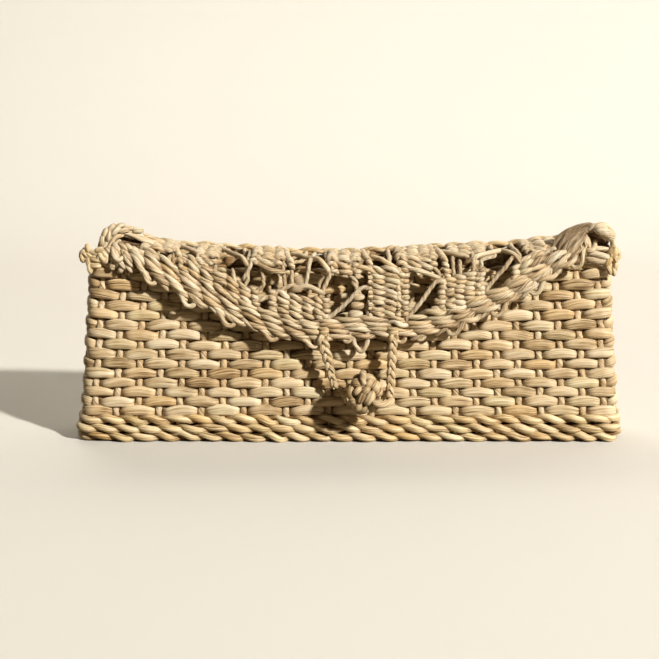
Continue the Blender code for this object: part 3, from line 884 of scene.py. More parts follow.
def flap_cord(cords, stations, radius, lift, **look):
    """A cord through (x, down) mm stations; its ends dip under the neighbours."""
    spots = even(spline(np.array(stations, float) * MM, 12), 0.0010)
    count = len(spots)
    share = np.linspace(0, 1, count)
    end = np.clip(np.minimum(share, 1 - share) * length(spots) / 0.004, 0, 1)
    path, normal = on_flap(spots, lift - 0.0016 * (1 - end) ** 2)
    path = path + normal * wander(count, 8, 0.00025)[:, None]
    # painted shade on the ends where they dip under the neighbours
    cords.add(path, normal, radius, radius * 0.95, tone=rng.normal(0.66, 0.09),
              crease=0.5 * (1 - end), **look)


# bars: stakes pulled sideways over the mouth
cords = Cords()
for stations in (
    ((-105, -27), (-96, -12), (-85, -1)), ((-80, -28), (-70, -10), (-60.5, 2)),
    ((-58, -1), (-48, 3.0), (-38.5, 5)), ((-36, -24), (-24, -8), (-10, 6)),
    ((3, 1), (12, 3), (17, 6)), ((11, -12), (19, -2), (28, 3)),
    ((31, 1.5), (42, 4), (54, 9)), ((53, -19), (62, -8), (71, -4)),
    ((72, 0), (79, -6), (93, -13)), ((90, -14), (95, -6), (101, 2)),
    ((-35, 15.5), (-26, 12.5), (-15, 17)),
):
    flap_cord(cords, stations, 0.00160, lift=0.0016, plies=3, groove=0.06, twist=25)
cords.piece("flap_bars", MAT_FLAP, ACROSS_FOLD, "flap_crest_row")

# slanted cords across the windows, each a twisted pair
for k, stations in enumerate((
    ((-59, 23), (-47, 18.5), (-36, 12.5), (-30, 13.5)),
    ((-19, 20.5), (-14, 10), (-9, -2)),
    ((-16, 34), (-4, 24), (6, 14), (12, 14)),
    ((32, 34), (42, 22), (50, 11), (56, 9)),
    ((77, 20), (87, 8), (98, -3)),
)):
    cords = Cords()
    flap_cord(cords, stations, 0.00142, lift=0.0014, plies=2, groove=0.22, twist=115)
    cords.piece(f"window_cord_{k + 1}", MAT_FLAP, ACROSS_FOLD,
                f"flap_window_cord_{k + 1}")

# ---- Flap stakes: twisted cords from hinge to hem -------------------------------------------------
# Windows in mm (x range, down range): a stake that would stand in one is pulled to its side.
WINDOWS = (
    (-57.5, -41, 19, 29), (-33.5, -12, -1, 21), (-17, 2.5, 11, 35), (34, 52, 7, 33),
    (79, 96, -1, 20), (-104, -90, -30, 3), (-79, -62, -30, 9), (13, 21, -30, -2),
    (24, 29.5, -26, 3), (91, 96, -36, 1),
)
STAKE_X = []  # mm
cords = Cords()
for i in range(-11, 13):
    x = i * 12.6 - 1.5
    edge = float(np.interp(x * MM, EDGE_LINE[:, 0], EDGE_LINE[:, 1])) / MM
    if edge < 0:
        continue
    STAKE_X.append(x)
    down = np.linspace(-37, edge - 1.0, max(int((edge + 37) / 1.1), 8))
    stake_x = x + 0.6 * np.sin(down * 0.21 + x)
    for x0, x1, top, bottom in WINDOWS:
        if x0 < x < x1:
            aside = (x0 - 1.2) if x < (x0 + x1) / 2 else (x1 + 1.2)
            share = np.clip(1 - np.clip(np.maximum(top - down, down - bottom), 0, 7) / 7, 0, 1)
            share = share * share * (3 - 2 * share)
            stake_x = stake_x * (1 - share) + aside * share
    path, normal = on_flap(points(stake_x, down) * MM, -0.0004)
    cords.add(path, normal, 0.00132, 0.00120, sides=8, tone=rng.normal(0.58, 0.09), crease=0.12,
              **PAIR)
for stations in (
    ((-21, -30), (-23, -8), (-27, 15)), ((1, 10), (4, 14), (6.5, 19)),
    ((23, -28), (23.5, -10), (23, 1)), ((73, -14), (73, 0), (73, 9)),
    ((65, -2), (65, 4), (65.5, 9)), ((98, -32), (99, -14), (101, 0)),
    ((-100, 8), (-92, 3.5), (-82, 1.5)), ((-64, 10), (-60, 3), (-55.5, -5)),
    ((-92, -30), (-91, -10), (-90, 6)), ((-70, 3), (-69, 8), (-68, 14)),
):
    flap_cord(cords, stations, 0.00135, lift=0.0010, **PAIR)
cords.piece("flap_stakes", MAT_FLAP, ACROSS_FOLD)

# stakes wrapped with a strand: (x, down) stations and outer radius in mm
cords = Cords()
for stations, radius in (
    (((-39, -34), (-37.5, -12), (-34.5, 3)), 2.3),
    (((8, -33), (9.5, -12), (12, 3)), 2.2),
    (((52, -34), (54.5, -10), (58, 9)), 2.3),
    (((-106, -20), (-103, -8), (-100, 4)), 2.1),
):
    line = even(spline(np.array(stations, float) * MM, 12), 0.0006)
    turns = length(line) / 0.0029
    count = int(turns * 16)
    share = np.linspace(0, 1, count)
    path, normal = on_flap(columns_at(share, np.linspace(0, 1, len(line)), line), 0.0007)
    side = np.cross(unit(np.gradient(path, axis=0)), normal)
    angle = 2 * np.pi * turns * share
    radial = side * np.cos(angle)[:, None] + normal * np.sin(angle)[:, None]
    # painted shade on the back half of each wrapping turn and on the stake inside the wrap
    cords.add(path + radial * (radius - 1.15) * MM, radial, 0.00148, 0.00105, sides=8,
              tone=rng.normal(0.64, 0.06) + wander(count, 20, 0.08),
              crease=0.35 * np.clip(-np.sin(angle), 0, 1), twist=30, plies=3, groove=0.07)
    cords.add(path, normal, 0.0013, 0.0013, sides=8, crease=0.5, plies=2, twist=100)
cords.piece("flap_wrapped_stakes", MAT_FLAP, ACROSS_FOLD)

# ---- Hem: stake ends turned back into the border --------------------------------------------------


def hem_spots(x, line, way=1, shift=0.0, step=0.0008):
    """Spots for a line of (along the edge, outward) mm points, measured from the edge at x mm."""
    start = EDGE_RUN[int(np.argmin(np.abs(EDGE_LINE[:, 0] - x * MM)))] + shift
    spots, inward = edge_at(start + way * line[:, 0] * MM)
    return even(spots - inward * (line[:, 1] * MM)[:, None], step)


def hem_hook(cords, x, way, size):
    """A stake end that runs out over the edge and hooks back; way is +1 towards +x."""
    stations = np.array([
        (-12, -3.4), (-7, -1.2), (-3.4, 0.9), (-1.0, 3.0), (1.4, 4.1), (3.8, 3.4), (4.8, 1.4),
        (4.4, -0.8), (3.8, -3.0),
    ])
    stations[2:] *= size
    spots = hem_spots(x, spline(stations, 8), way)
    share = np.linspace(0, 1, len(spots))
    lift = 0.0012 + 0.0010 * np.sin(np.pi * np.clip(share * 1.1, 0, 1))
    path, normal = on_flap(spots, lift - 0.0030 * np.clip((share - 0.80) / 0.2, 0, 1))
    cords.add(path, normal, 0.00150, 0.00150, sides=11, twist=35, plies=3, groove=0.10)


def hem_loop(cords, x, width, depth):
    """A loop hanging below the edge; mm."""
    half = width / 2
    line = spline((
        (-half, -5), (-half * 1.05, -1), (-half * 0.8, depth * 0.55), (0, depth),
        (half * 0.8, depth * 0.55), (half * 1.05, -1), (half, -5),
    ), 8)
    spots = hem_spots(x, line)
    share = np.linspace(-1, 1, len(spots))
    path, normal = on_flap(spots, 0.0002 + 0.0008 * (1 - share**2))
    radius = 0.00155 if depth > 6 else 0.00138
    cords.add(path, normal, radius, radius * 0.94, twist=60, plies=2, groove=0.14)


def hem_end(cords, x):
    """A loose strand end that lies along the outer rope."""
    shift = rng.normal(0, 0.0012)
    tip = 1.6 + rng.uniform(-0.6, 0.6)
    line = spline(((-11, -4.0), (-6, -1.6), (-1, 0.2), (4.5, tip)), 8)
    spots = hem_spots(x, line, 1 if x < 10 else -1, shift, step=0.0009)
    share = np.linspace(0, 1, len(spots))
    path, normal = on_flap(spots, 0.0002 + 0.0017 * np.sin(np.pi * share))
    cords.add(path, normal, 0.00140, 0.00125, twist=40, plies=3, groove=0.10,
              ends=(0.5, 0.25), end_len=0.005)


cords = Cords()
for x in (-138, -118.5, -96.5, -72.5, -47.5, -23):
    hem_hook(cords, x, 1, rng.uniform(0.9, 1.1))
for x in (143, 134, 110.5, 88, 62):
    hem_hook(cords, x, -1, rng.uniform(0.85, 1.05))
for x, width, depth in (
    (6.5, 8.4, 8.2), (-18, 6.0, 3.2), (30.5, 5.0, 2.6), (-2, 4.5, 1.8), (42, 5, 2.6),
    (66, 5, 3.0), (90, 5, 3.0), (111, 5, 2.6),
):
    hem_loop(cords, x, width, depth)
for x in np.concatenate([np.arange(-131, -20, 10.5), np.arange(40, 128, 13.0)]):
    hem_end(cords, x)
cords.piece("flap_hem_loops", MAT_FLAP, ACROSS_FOLD, "flap_hem")

# ---- Hinge ----------------------------------------------------------------------------------------
HINGE_RUN = 0.302


def hinge_rope():
    """A rope on top of the hinge, one behind it, and packing rows down to the back wall."""
    along = np.linspace(0, 1, int(HINGE_RUN / 0.0011))
    x = -0.151 + HINGE_RUN * along
    top = bridge_z(x, DOWN_HINGE)
    period = 2 * PITCH / HINGE_RUN
    cords = Cords()
    top_line = (
        points(x, HINGE_Y + 0.0006, top + 0.0002),
        unit(np.array([0, -0.25, 1.0])), unit(np.array([0, 1.0, 0.25])),
    )
    twine(cords, top_line, along, period, reach=0.00125, drop=0.00115, radius=0.00155, twist=50,
          wobble=0.0004)
    back_line = (
        points(x, HINGE_Y + 0.0003, top - 0.0036), np.array([0, 1.0, 0]), np.array([0, 0, 1.0]),
    )
    twine(cords, back_line, along, period, reach=0.0012, drop=0.0009, radius=0.00140, twist=50,
          phase=2.1, slope=-1)
    low, high = row_z(ROWS, x) + 0.0030, top - 0.0052
    for share, phase in ((0.0, 0), (0.45, np.pi), (0.9, 0)):
        wave = np.cos(np.pi * HINGE_RUN * along / PITCH + phase)
        path = points(x, HINGE_Y - 0.0014 + 0.0006 * wave, low + (high - low) * share)
        # painted shade on the packing rows under the hinge rope, changing with their wave
        cords.add(path, (0, 1, 0), 0.0021, 0.0013, sides=8, crease=0.30 + 0.2 * wave, twist=50,
                  plies=3, groove=0.1)
    cords.piece("hinge_rope", MAT_ROPE, "tub", "flap_hinge_row")


def hinge_stakes():
    """The stakes that bend over the hinge, from the back wall on to the flap."""
    cords = Cords()
    for x in STAKE_X + [-140.5, 148.0]:
        x = x * MM
        top = float(bridge_z(x, DOWN_HINGE))
        bend = spline((  # y, z
            (HINGE_Y - 0.0030, top - 0.0095), (HINGE_Y - 0.0008, top - 0.0045),
            (HINGE_Y - 0.0002, top - 0.0010), (HINGE_Y - 0.0035, top + 0.0002),
            (HINGE_Y - 0.0090, top - 0.0003),
        ), 7)
        tangent = unit(np.gradient(bend, axis=0))
        cords.add(points(x, bend[:, 0], bend[:, 1]), points(0, tangent[:, 1], -tangent[:, 0]),
                  0.00132, 0.0012, sides=8, tone=rng.normal(0.58, 0.09), **PAIR)
    across_hinge = (
        "tub", "flap_bridge",
        (0, HINGE_Y - 0.0002, HINGE_Z - 0.0022), (0, HINGE_Y - 0.0035, HINGE_Z + 0.0006),
    )
    cords.piece("hinge_stakes", MAT_STAKE, across_hinge)


hinge_rope()
hinge_stakes()

# ---- Ears: the border rope turned up into an eye at each top corner -------------------------------
# Ear tables are in mm from the ear's middle, as (out, y, up); out is away from the flap's middle.
EAR_FACING = np.array([0, -0.75, 0.65])

# Left ear, nested cords that turn up round the eye and run back to the hinge: stations, radius, painted
# shade.
LEFT_CORDS = (
    (((9.0, -3.5, -7.5), (10.0, -2.0, -2.0), (7.4, 0.0, 4.2), (2.8, 1.5, 7.6), (-3.2, 3.0, 7.0),
      (-9.0, 5.0, 4.5), (-15.0, 8.0, 1.2), (-23.0, 13.0, -3.6)), 1.45, 0.0),
    (((6.2, -4.5, -8.5), (7.2, -3.0, -3.4), (5.0, -1.4, 1.9), (1.2, 0.0, 5.0), (-3.8, 1.6, 4.9),
      (-9.0, 3.4, 2.6), (-15.0, 6.0, -0.6), (-22.0, 9.0, -4.0)), 1.45, 0.0),
    (((2.8, -5.5, -8.0), (4.6, -4.2, -4.2), (2.6, -3.0, 0.4), (-0.4, -1.8, 3.0),
      (-3.6, 0.4, 3.4)), 1.40, 0.0),
    (((0.0, -6.0, -8.0), (2.0, -5.0, -4.6), (0.4, -4.2, -1.0), (-2.6, -2.5, 1.4)), 1.40, 0.0),
    (((-14.0, 7.5, 3.0), (-19.0, 10.5, 1.0), (-25.0, 14.0, -2.8)), 1.5, 0.0),
    (((8.2, -1.6, -8.0), (8.8, -0.4, -2.8), (6.3, 1.4, 3.0), (2.0, 2.6, 6.2), (-3.6, 4.2, 5.8),
      (-9.0, 6.0, 3.4), (-15.0, 8.6, 0.2)), 1.6, 0.0),
    (((5.6, -2.6, -8.4), (6.0, -1.0, -4.0), (3.8, 0.6, 1.0), (0.2, 2.0, 3.8), (-4.0, 3.4, 3.6),
      (-9.4, 5.4, 1.2)), 1.6, 0.0),
    # two cords behind the eye, darkened by painted shade so the eye reads dark
    (((2.0, 6.2, 1.8), (-6.0, 7.6, 1.4), (-14.0, 9.4, -0.8)), 1.9, 0.9),
    (((2.0, 5.6, -1.4), (-6.0, 7.0, -1.8), (-14.0, 8.8, -3.6)), 1.9, 0.9),
)
# Short turns over the left ear's arch: out, up, y and slope in degrees.
LEFT_ARCH = (
    (8.6, 0.6, -2.2, 62), (6.9, 4.9, -1.0, 40), (3.4, 7.6, 0.4, 18), (-1.4, 8.4, 1.6, 0),
    (-6.4, 7.0, 3.0, -22), (-11.6, 5.2, 5.4, -28), (4.4, 3.2, -2.0, 50), (0.4, 5.8, -1.2, 14),
    (-4.2, 5.8, 0.6, -14),
)
# Stout turns in three rows below the left eye: out, up.
LEFT_ROWS = (
    (-0.5, -3.4), (-4.4, -3.4), (-8.2, -4.4), (-12.0, -5.6), (-15.8, -7.2), (-19.6, -9.0),
    (-23.4, -11.0),
    (3.6, -6.4), (-0.2, -7.6), (-4.0, -8.4), (-7.8, -9.6), (-11.6, -11.2), (-15.4, -13.0),
    (-19.2, -15.0),
    (6.8, -7.6), (0.8, -11.2), (-3.0, -12.4), (-7.0, -14.0),
)
# Turned ends on the left ear's outer side: out, up, radius.
LEFT_ENDS = (
    (10.2, -8.4, 2.0), (6.4, -10.2, 1.9), (2.0, -13.6, 1.9), (-2.6, -15.6, 1.9), (-7.0, -17.2, 1.8),
)
# Right ear, the rolled end round the eye: stations, radius, painted shade.
RIGHT_ROLL = (
    (((2.0, -4.4, 7.8), (5.8, -5.6, 7.4), (10.4, -5.4, 4.8), (13.4, -4.0, 1.6)), 3.1, 0.0),
    (((-0.5, -3.0, 7.6), (3.2, -3.0, 10.0), (7.6, -2.0, 9.4), (10.6, -1.5, 6.4)), 1.8, 0.0),
    (((4.6, 0.5, 10.4), (9.4, 0.5, 9.6), (13.2, 0.0, 5.6), (14.2, -1.0, 0.0)), 1.7, 0.0),
    (((14.2, -2.0, 2.6), (14.2, -3.6, -1.4), (12.6, -4.6, -4.6)), 1.9, 0.0),
    (((-2.6, -4.4, 3.6), (-0.8, -5.0, -0.6), (-0.4, -5.2, -4.4)), 1.6, 0.0),
    (((-2.0, -5.2, -6.0), (3.4, -6.6, -6.4), (8.6, -6.4, -7.8), (12.8, -4.6, -9.4)), 2.0, 0.0),
    (((0.0, -3.6, -3.8), (4.6, -3.8, -3.6), (9.6, -3.2, -4.2), (13.4, -2.8, -5.6)), 1.7, 0.0),
    (((-2.4, -5.0, -9.6), (3.6, -6.2, -10.4), (9.2, -6.0, -11.4), (13.0, -4.4, -12.4)), 2.2, 0.0),
    # four cords behind the eye, darkened by painted shade so the eye reads dark
    (((-1.0, 3.0, 5.0), (5.0, 3.6, 3.4), (12.6, 3.0, 2.6)), 2.1, 0.9),
    (((-1.0, 2.4, 1.6), (5.0, 3.0, 0.4), (12.8, 2.4, -0.6)), 2.1, 0.9),
    (((-1.0, 2.0, -2.0), (6.0, 2.6, -3.4), (13.2, 2.0, -4.0)), 2.1, 0.9),
    (((-1.0, 1.8, -5.4), (6.0, 2.2, -6.8), (13.0, 1.8, -7.6)), 2.1, 0.9),
)


def ear_cord(cords, centre, way, stations, radius, lift=0.0, tone=None, **look):
    """A cord through (out, y, up) mm stations; way is the sign of x on this side."""
    path = spline(np.array(stations, float) * MM, 12) * np.array([way, 1, 1]) + centre
    path = even(path, 0.0008)
    facing = unit(np.array([0.10 * way, -0.75, 0.65]))
    path = path + np.stack([wander(len(path), 9, 0.00020) for _ in range(3)], -1)
    own_tone = rng.normal(0.60, 0.10)  # drawn even when a tone is given
    cords.add(path + facing * lift, facing, radius, radius * 0.94, twist=42, plies=3, groove=0.11,
              tone=own_tone if tone is None else tone, **look)


def ear_turn(cords, centre, direction, half, rise, count, wide, thick, sides, end, crease):
    """A short strand arched over its neighbours; half is its half length."""
    share = np.linspace(-1, 1, count)
    path = centre + np.outer(share * half, direction) + np.outer((1 - share**2) * rise, EAR_FACING)
    # painted shade towards the ends, where the turn dips under its neighbours
    cords.add(path, EAR_FACING, wide, thick, sides=sides, twist=24, plies=3, groove=0.12,
              tone=rng.normal(0.63, 0.10), ends=(end, end), end_len=0.0028,
              crease=crease * np.abs(share) ** 3)


def left_ear(cords, centre):
    for stations, radius, crease in LEFT_CORDS:
        ear_cord(cords, centre, -1, stations, radius * MM, ends=(0.5, 0.45), end_len=0.003,
                 crease=crease)
    for out, up, y, slope in LEFT_ARCH:
        angle = math.radians(slope + 24)
        direction = unit(np.array([math.cos(angle), 0.30, math.sin(angle)]))
        ear_turn(cords, np.array([-out, y, up]) * MM + centre, direction, half=3.4 * MM,
                 rise=1.3 * MM, count=13, wide=0.00165, thick=0.00150, sides=10, end=0.3, crease=0.5)
    for out, up in LEFT_ROWS:
        angle = math.radians(50 + rng.normal(0, 5) - 0.35 * max(0, -out))
        direction = np.array([math.cos(angle), -0.22, -math.sin(angle)])
        place = np.array([-out, -3.0 + 0.36 * up, up]) * MM + centre
        place = place + rng.normal(0, 0.3) * MM * EAR_FACING
        ear_turn(cords, place, direction, half=4.3 * MM, rise=1.5 * MM, count=15, wide=0.00190,
                 thick=0.00165, sides=11, end=0.35, crease=0.55)
    for out, up, radius in LEFT_ENDS:
        stations = (
            (out - 1.8, -5.4, up + 4.2), (out - 0.6, -7.6, up + 1.4),
            (out + 0.4, -8.0, up - 0.6), (out + 0.2, -6.4, up - 1.8),
        )
        ear_cord(cords, centre, -1, stations, radius * MM, ends=(0.5, 0.35), end_len=0.0030)


def right_ear(cords, centre):
    # a sheaf of parallel strands sweeping up to the eye: each station at the first strand, and how
    # far it moves by the last
    for k in range(8):
        share = k / 7
        start, second, third, end = (
            np.array(first) + np.array(change) * share
            for first, change in (
                ((-14.0, -7.4, -10.5), (-10.5, 6.4, 1.0)), ((-10.5, -7.0, -5.0), (-8.5, 7.2, 6.0)),
                ((-7.0, -5.8, -1.2), (-5.0, 6.4, 7.6)), ((-2.6, -4.6, 2.0), (0.5, 4.6, 7.6)),
            )
        )
        before = start + (start - second) * 0.7 + np.array([-3.5, 0, 1.2])
        stations = [before, start, second, third, end]
        if k > 3:
            stations.append(end + np.array([4.6, 0.5, 0.1 - 0.3 * (k - 4)]))
        # painted shade: the sheaf gets a darker tone and deeper painted shade towards its last strands,
        # standing in for the shadow it lies in
        ear_cord(cords, centre, 1, stations, 0.00162, lift=0.0007 * (k % 2), ends=(0.4, 0.6),
                 end_len=0.004, crease=0.24 + 0.30 * share + 0.05 * (k % 2),
                 tone=rng.normal(0.44, 0.08))
    for stations, radius, crease in RIGHT_ROLL:
        ear_cord(cords, centre, 1, stations, radius * MM, ends=(0.45, 0.5), end_len=0.003,
                 crease=crease)
    # frayed fibres left of the eye
    for k in range(13):
        out = -6.4 + 0.46 * k + rng.normal(0, 0.3)
        up = rng.uniform(-6.5, 1.0)
        bend = rng.normal(0, 0.7, 2)
        stations = (
            (out, -5.0, up + 2.4), (out + bend[0], -6.6, up + 0.6),
            (out + bend[1], -6.4 - rng.uniform(0, 0.8), up - 1.0),
            (out + bend.sum() * 0.5, -5.4, up - rng.uniform(2.0, 3.6)),
        )
        ear_cord(cords, centre, 1, stations, 0.00062, ends=(0.7, 0.4),
                 tone=rng.uniform(0.5, 0.85), hue=0.7)


for side_name, shift_x, build in (("left", 0.0030, left_ear), ("right", -0.0054, right_ear)):
    cords = Cords()
    node = "flap_ear_" + side_name
    build(cords, middle(node) + np.array([shift_x, 0, 0]))
    cords.piece("flap_ear_rope_" + side_name, MAT_FLAP, "flap_bridge", node)

# ---- Knots ----------------------------------------------------------------------------------------


def slant_direction(degrees, y=0.0, way=1):
    """A direction in the front view, rising from the x axis."""
    angle = math.radians(degrees)
    return np.array([math.cos(angle) * way, y, math.sin(angle)])


def ball_normal(x, z, face, limit):
    """Unit sphere point at (x, z) in the front view, kept within limit; face is its side in y."""
    rho = math.hypot(x, z)
    if rho > limit:
        x, z, rho = x * limit / rho, z * limit / rho, limit
    return np.array([x, face * math.sqrt(1 - rho * rho), z])


def ball_arc(middle_normal, direction, angles):
    """Unit sphere points through middle_normal, heading in the direction."""
    heading = unit(direction - middle_normal * (direction @ middle_normal))
    return np.outer(np.cos(angles), middle_normal) + np.outer(np.sin(angles), heading)


def knot_arc(cords, centre, radii, x, z, slant, half, radius, face=-1):
    """A strand on an ellipsoid; (x, z) is its middle in units of the radii, half its half angle."""
    share = np.linspace(-1, 1, 17)
    normal = ball_arc(ball_normal(x, z, face, 0.985), slant_direction(slant), share * half)
    path = centre + normal * radii * (1.04 - 0.22 * np.abs(share) ** 3)[:, None]
    # painted shade at the ends, where the strand dips into the knot
    cords.add(path, normal, radius * (1.0 - 0.18 * share**2), radius * 0.86 * (1.0 - 0.15 * share**2),
              sides=12, twist=35, plies=3, groove=0.13, tone=rng.normal(0.60, 0.11),
              crease=0.55 * np.abs(share) ** 3, end_len=0.0012)


def coil(cords, centre, radii, radius, turns):
    """A core wound from pole to pole, darkened by painted shade as the knot's shadowed middle."""
    share = np.linspace(0.04, 0.96, int(turns * 18))
    latitude = -np.pi / 2 + np.pi * share
    longitude = 2 * np.pi * turns * share
    normal = points(
        np.cos(latitude) * np.cos(longitude), np.cos(latitude) * np.sin(longitude), np.sin(latitude)
    )
    cords.add(centre + normal * radii, normal, radius, radius, sides=7, crease=0.65, twist=40)


low, high = corners("knot_button")
KNOT_CENTRE, KNOT_RADII = (low + high) / 2, (high - low) / 2
# Turns on the knot's front: x and z from its middle, slant in degrees, half length, half width; mm.
KNOT_FACE = (
    (-5.3, 9.6, -33, 5.4, 3.10), (4.1, 9.8, 58, 4.4, 2.60), (8.7, 7.5, 42, 4.6, 2.75),
    (-10.0, 3.2, -78, 4.5, 2.60), (-5.0, 4.6, 45, 3.0, 2.00), (-2.4, 0.0, 62, 5.0, 2.25),
    (0.9, 5.0, 42, 3.2, 2.00), (4.1, -0.8, 56, 5.3, 3.00), (-8.1, -3.4, 20, 3.0, 2.40),
    (-5.1, -7.4, 62, 4.0, 3.00), (0.2, -9.8, 58, 4.6, 2.70), (5.0, -9.0, -75, 4.4, 2.20),
    (10.4, 2.6, 25, 3.2, 2.40), (9.2, -6.4, -38, 3.8, 1.90), (-11.0, -2.0, -70, 4.5, 1.9),
)


def knot_bead(cords, normal, direction, half, wide, out=0.0):
    """A stout turn of strand on the knot, half its half length."""
    share = np.linspace(-1, 1, 17)
    normals = ball_arc(unit(np.asarray(normal)), np.asarray(direction), share * half / 0.0110)
    radii = KNOT_RADII - wide * 0.80 + out
    path = KNOT_CENTRE + normals * radii * (1.0 - 0.16 * np.abs(share) ** 3)[:, None]
    width = wide * (1 - 0.45 * np.abs(share) ** 2.2)
    # painted shade at the ends, where the bead tucks under its neighbours
    cords.add(path, normals, width, width * 0.86, sides=14, twist=9, plies=4, groove=0.07,
              tone=rng.normal(0.47, 0.10), hue=np.clip(rng.normal(0.35, 0.15), 0, 1),
              crease=0.75 * np.abs(share) ** 2.5, ends=(0.45, 0.45), end_len=0.0012, lumps=0.0)


def knot_button():
    cords = Cords()
    coil(cords, KNOT_CENTRE, (KNOT_RADII - 0.0040) * 0.9, 0.0019, 7)
    for x, z, slant, half, wide in KNOT_FACE:
        normal = ball_normal(x * MM / KNOT_RADII[0], z * MM / KNOT_RADII[2], -1, 0.97)
        knot_bead(cords, normal, slant_direction(slant), half * MM, wide * MM)
    count = 26
    for k in range(count):  # the sides and the back, spread by the golden angle
        latitude = math.asin(1 - 2 * (k + 0.5) / count)
        longitude = k * 2.39996
        around = math.cos(latitude)
        normal = (around * math.cos(longitude), around * math.sin(longitude), math.sin(latitude))
        if normal[1] < -0.12:
            continue
        direction = (math.cos(k * 1.3), math.sin(k * 0.9), math.sin(k * 1.3))
        knot_bead(cords, normal, direction, 4.8 * MM, 2.7 * MM, out=-0.0002)
    # the strand end that lies out to the right
    share = np.linspace(0, 1, 24)[:, None]
    path = (
        (1 - share) ** 2 * np.array([0.0050, -0.0098, -0.0022])
        + 2 * share * (1 - share) * np.array([0.0120, -0.0120, -0.0056])
        + share**2 * np.array([0.0168, -0.0050, -0.0016])
    )
    cords.add(path + KNOT_CENTRE, (0, -1, 0.2), 0.0021, 0.0019, sides=12, twist=20, plies=3,
              groove=0.12, tone=0.66, ends=(0.5, 0.7), end_len=0.003)
    # the cord that comes down into the top
    path = (
        (1 - share) * np.array([-0.0010, 0.0010, 0.0136])
        + share * np.array([-0.0006, -0.0078, 0.0078])
        + np.array([0, -0.0012, 0.0010]) * np.sin(np.pi * share)
    )
    cords.add(path + KNOT_CENTRE, (0, -1, 0.2), 0.0020, 0.0019, sides=12, twist=110, plies=2,
              groove=0.22, tone=0.62)
    cords.piece("knot_button_strands", MAT_LOOP, "button", "knot_button")


def knot_shank():
    """Two strands wound round each other, running back from the knot."""
    low, high = corners("knot_shank")
    centre = (low + high) / 2
    y = np.linspace(KNOT_CENTRE[1] + KNOT_RADII[1] * 0.4, high[1], 16)
    cords = Cords()
    for k in range(2):
        turn = 2 * np.pi * (y - y[0]) / 0.012 + np.pi * k
        path = points(centre[0] + 0.0011 * np.cos(turn), y, centre[2] + 0.0011 * np.sin(turn))
        cords.add(path, (0, 0, 1), 0.0015, 0.0015, sides=9, twist=50, plies=3, groove=0.08)
    cords.piece("knot_shank_cord", MAT_STAKE, "button", "knot_shank")


def stopper_knot():
    low, high = corners("inner_stopper_knot")
    centre, radii = (low + high) / 2, (high - low) / 2 - 0.0014
    cords = Cords()
    coil(cords, centre, radii * 0.8, 0.0013, 5)
    for x, z, slant in (
        (0, 0.5, 15), (0, -0.45, 10), (-0.6, 0.1, 80), (0.6, 0, 95), (0.05, 0.05, 20),
    ):
        knot_arc(cords, centre, radii, x, z, slant, 0.85, 0.0015, face=1)
        knot_arc(cords, centre, radii, x, z, slant + 30, 0.85, 0.0014, face=-1)
    share = np.linspace(0, 1, 20)[:, None]
    for tail_x, tail_z in ((0.006, -0.014), (-0.004, -0.012)):
        path = centre + np.array([0, 0.001, -0.003]) * (1 - share)
        path = path + share * np.array([tail_x, 0.0015, tail_z])
        path = path + np.array([0, 0.001, 0]) * np.sin(np.pi * share)
        cords.add(path, (0, 1, 0), 0.0011, 0.0011, sides=8, twist=90, plies=2, groove=0.18)
    cords.piece("stopper_knot_strands", MAT_STAKE, "tub", "inner_stopper_knot")


knot_button()
knot_shank()
stopper_knot()

# Beads heaped on the rim's corners: out, y, up, slant in degrees, half length, radius; mm.
LEFT_HEAP = (
    (2.0, -2.2, -1.6, 80, 2.5, 2.1), (-1.6, -2.8, 4.0, 75, 3.0, 1.8), (-5.2, -3.4, 1.9, 8, 3.8, 1.9),
    (-5.8, -4.0, -2.2, 14, 3.6, 1.9), (-1.6, -3.4, -3.4, 85, 2.9, 1.8),
    (-2.0, -3.0, 0.4, 40, 3.0, 1.8), (-9.6, -4.6, -0.8, 60, 3.0, 2.0),
    (-8.2, -4.4, 3.4, -20, 3.0, 1.8), (-2.4, -4.0, -7.4, 84, 3.4, 1.8),
    (-5.6, -4.4, -6.0, 6, 3.6, 1.8), (-4.4, -1.2, -4.8, 0, 4.0, 2.2),
)
RIGHT_HEAP = (
    (-0.4, -2.6, 2.4, 70, 3.0, 1.7), (0.5, -2.6, -1.9, 100, 2.9, 1.8),
    (0.8, -2.6, -6.4, 80, 3.0, 1.8), (-0.2, -2.8, -9.6, 95, 2.8, 1.7),
    (-3.6, -3.6, -3.8, 60, 3.0, 1.8), (-3.4, -3.8, -8.2, 110, 3.2, 1.9),
    (-2.2, -0.8, -6.0, 90, 4.0, 2.2),
)


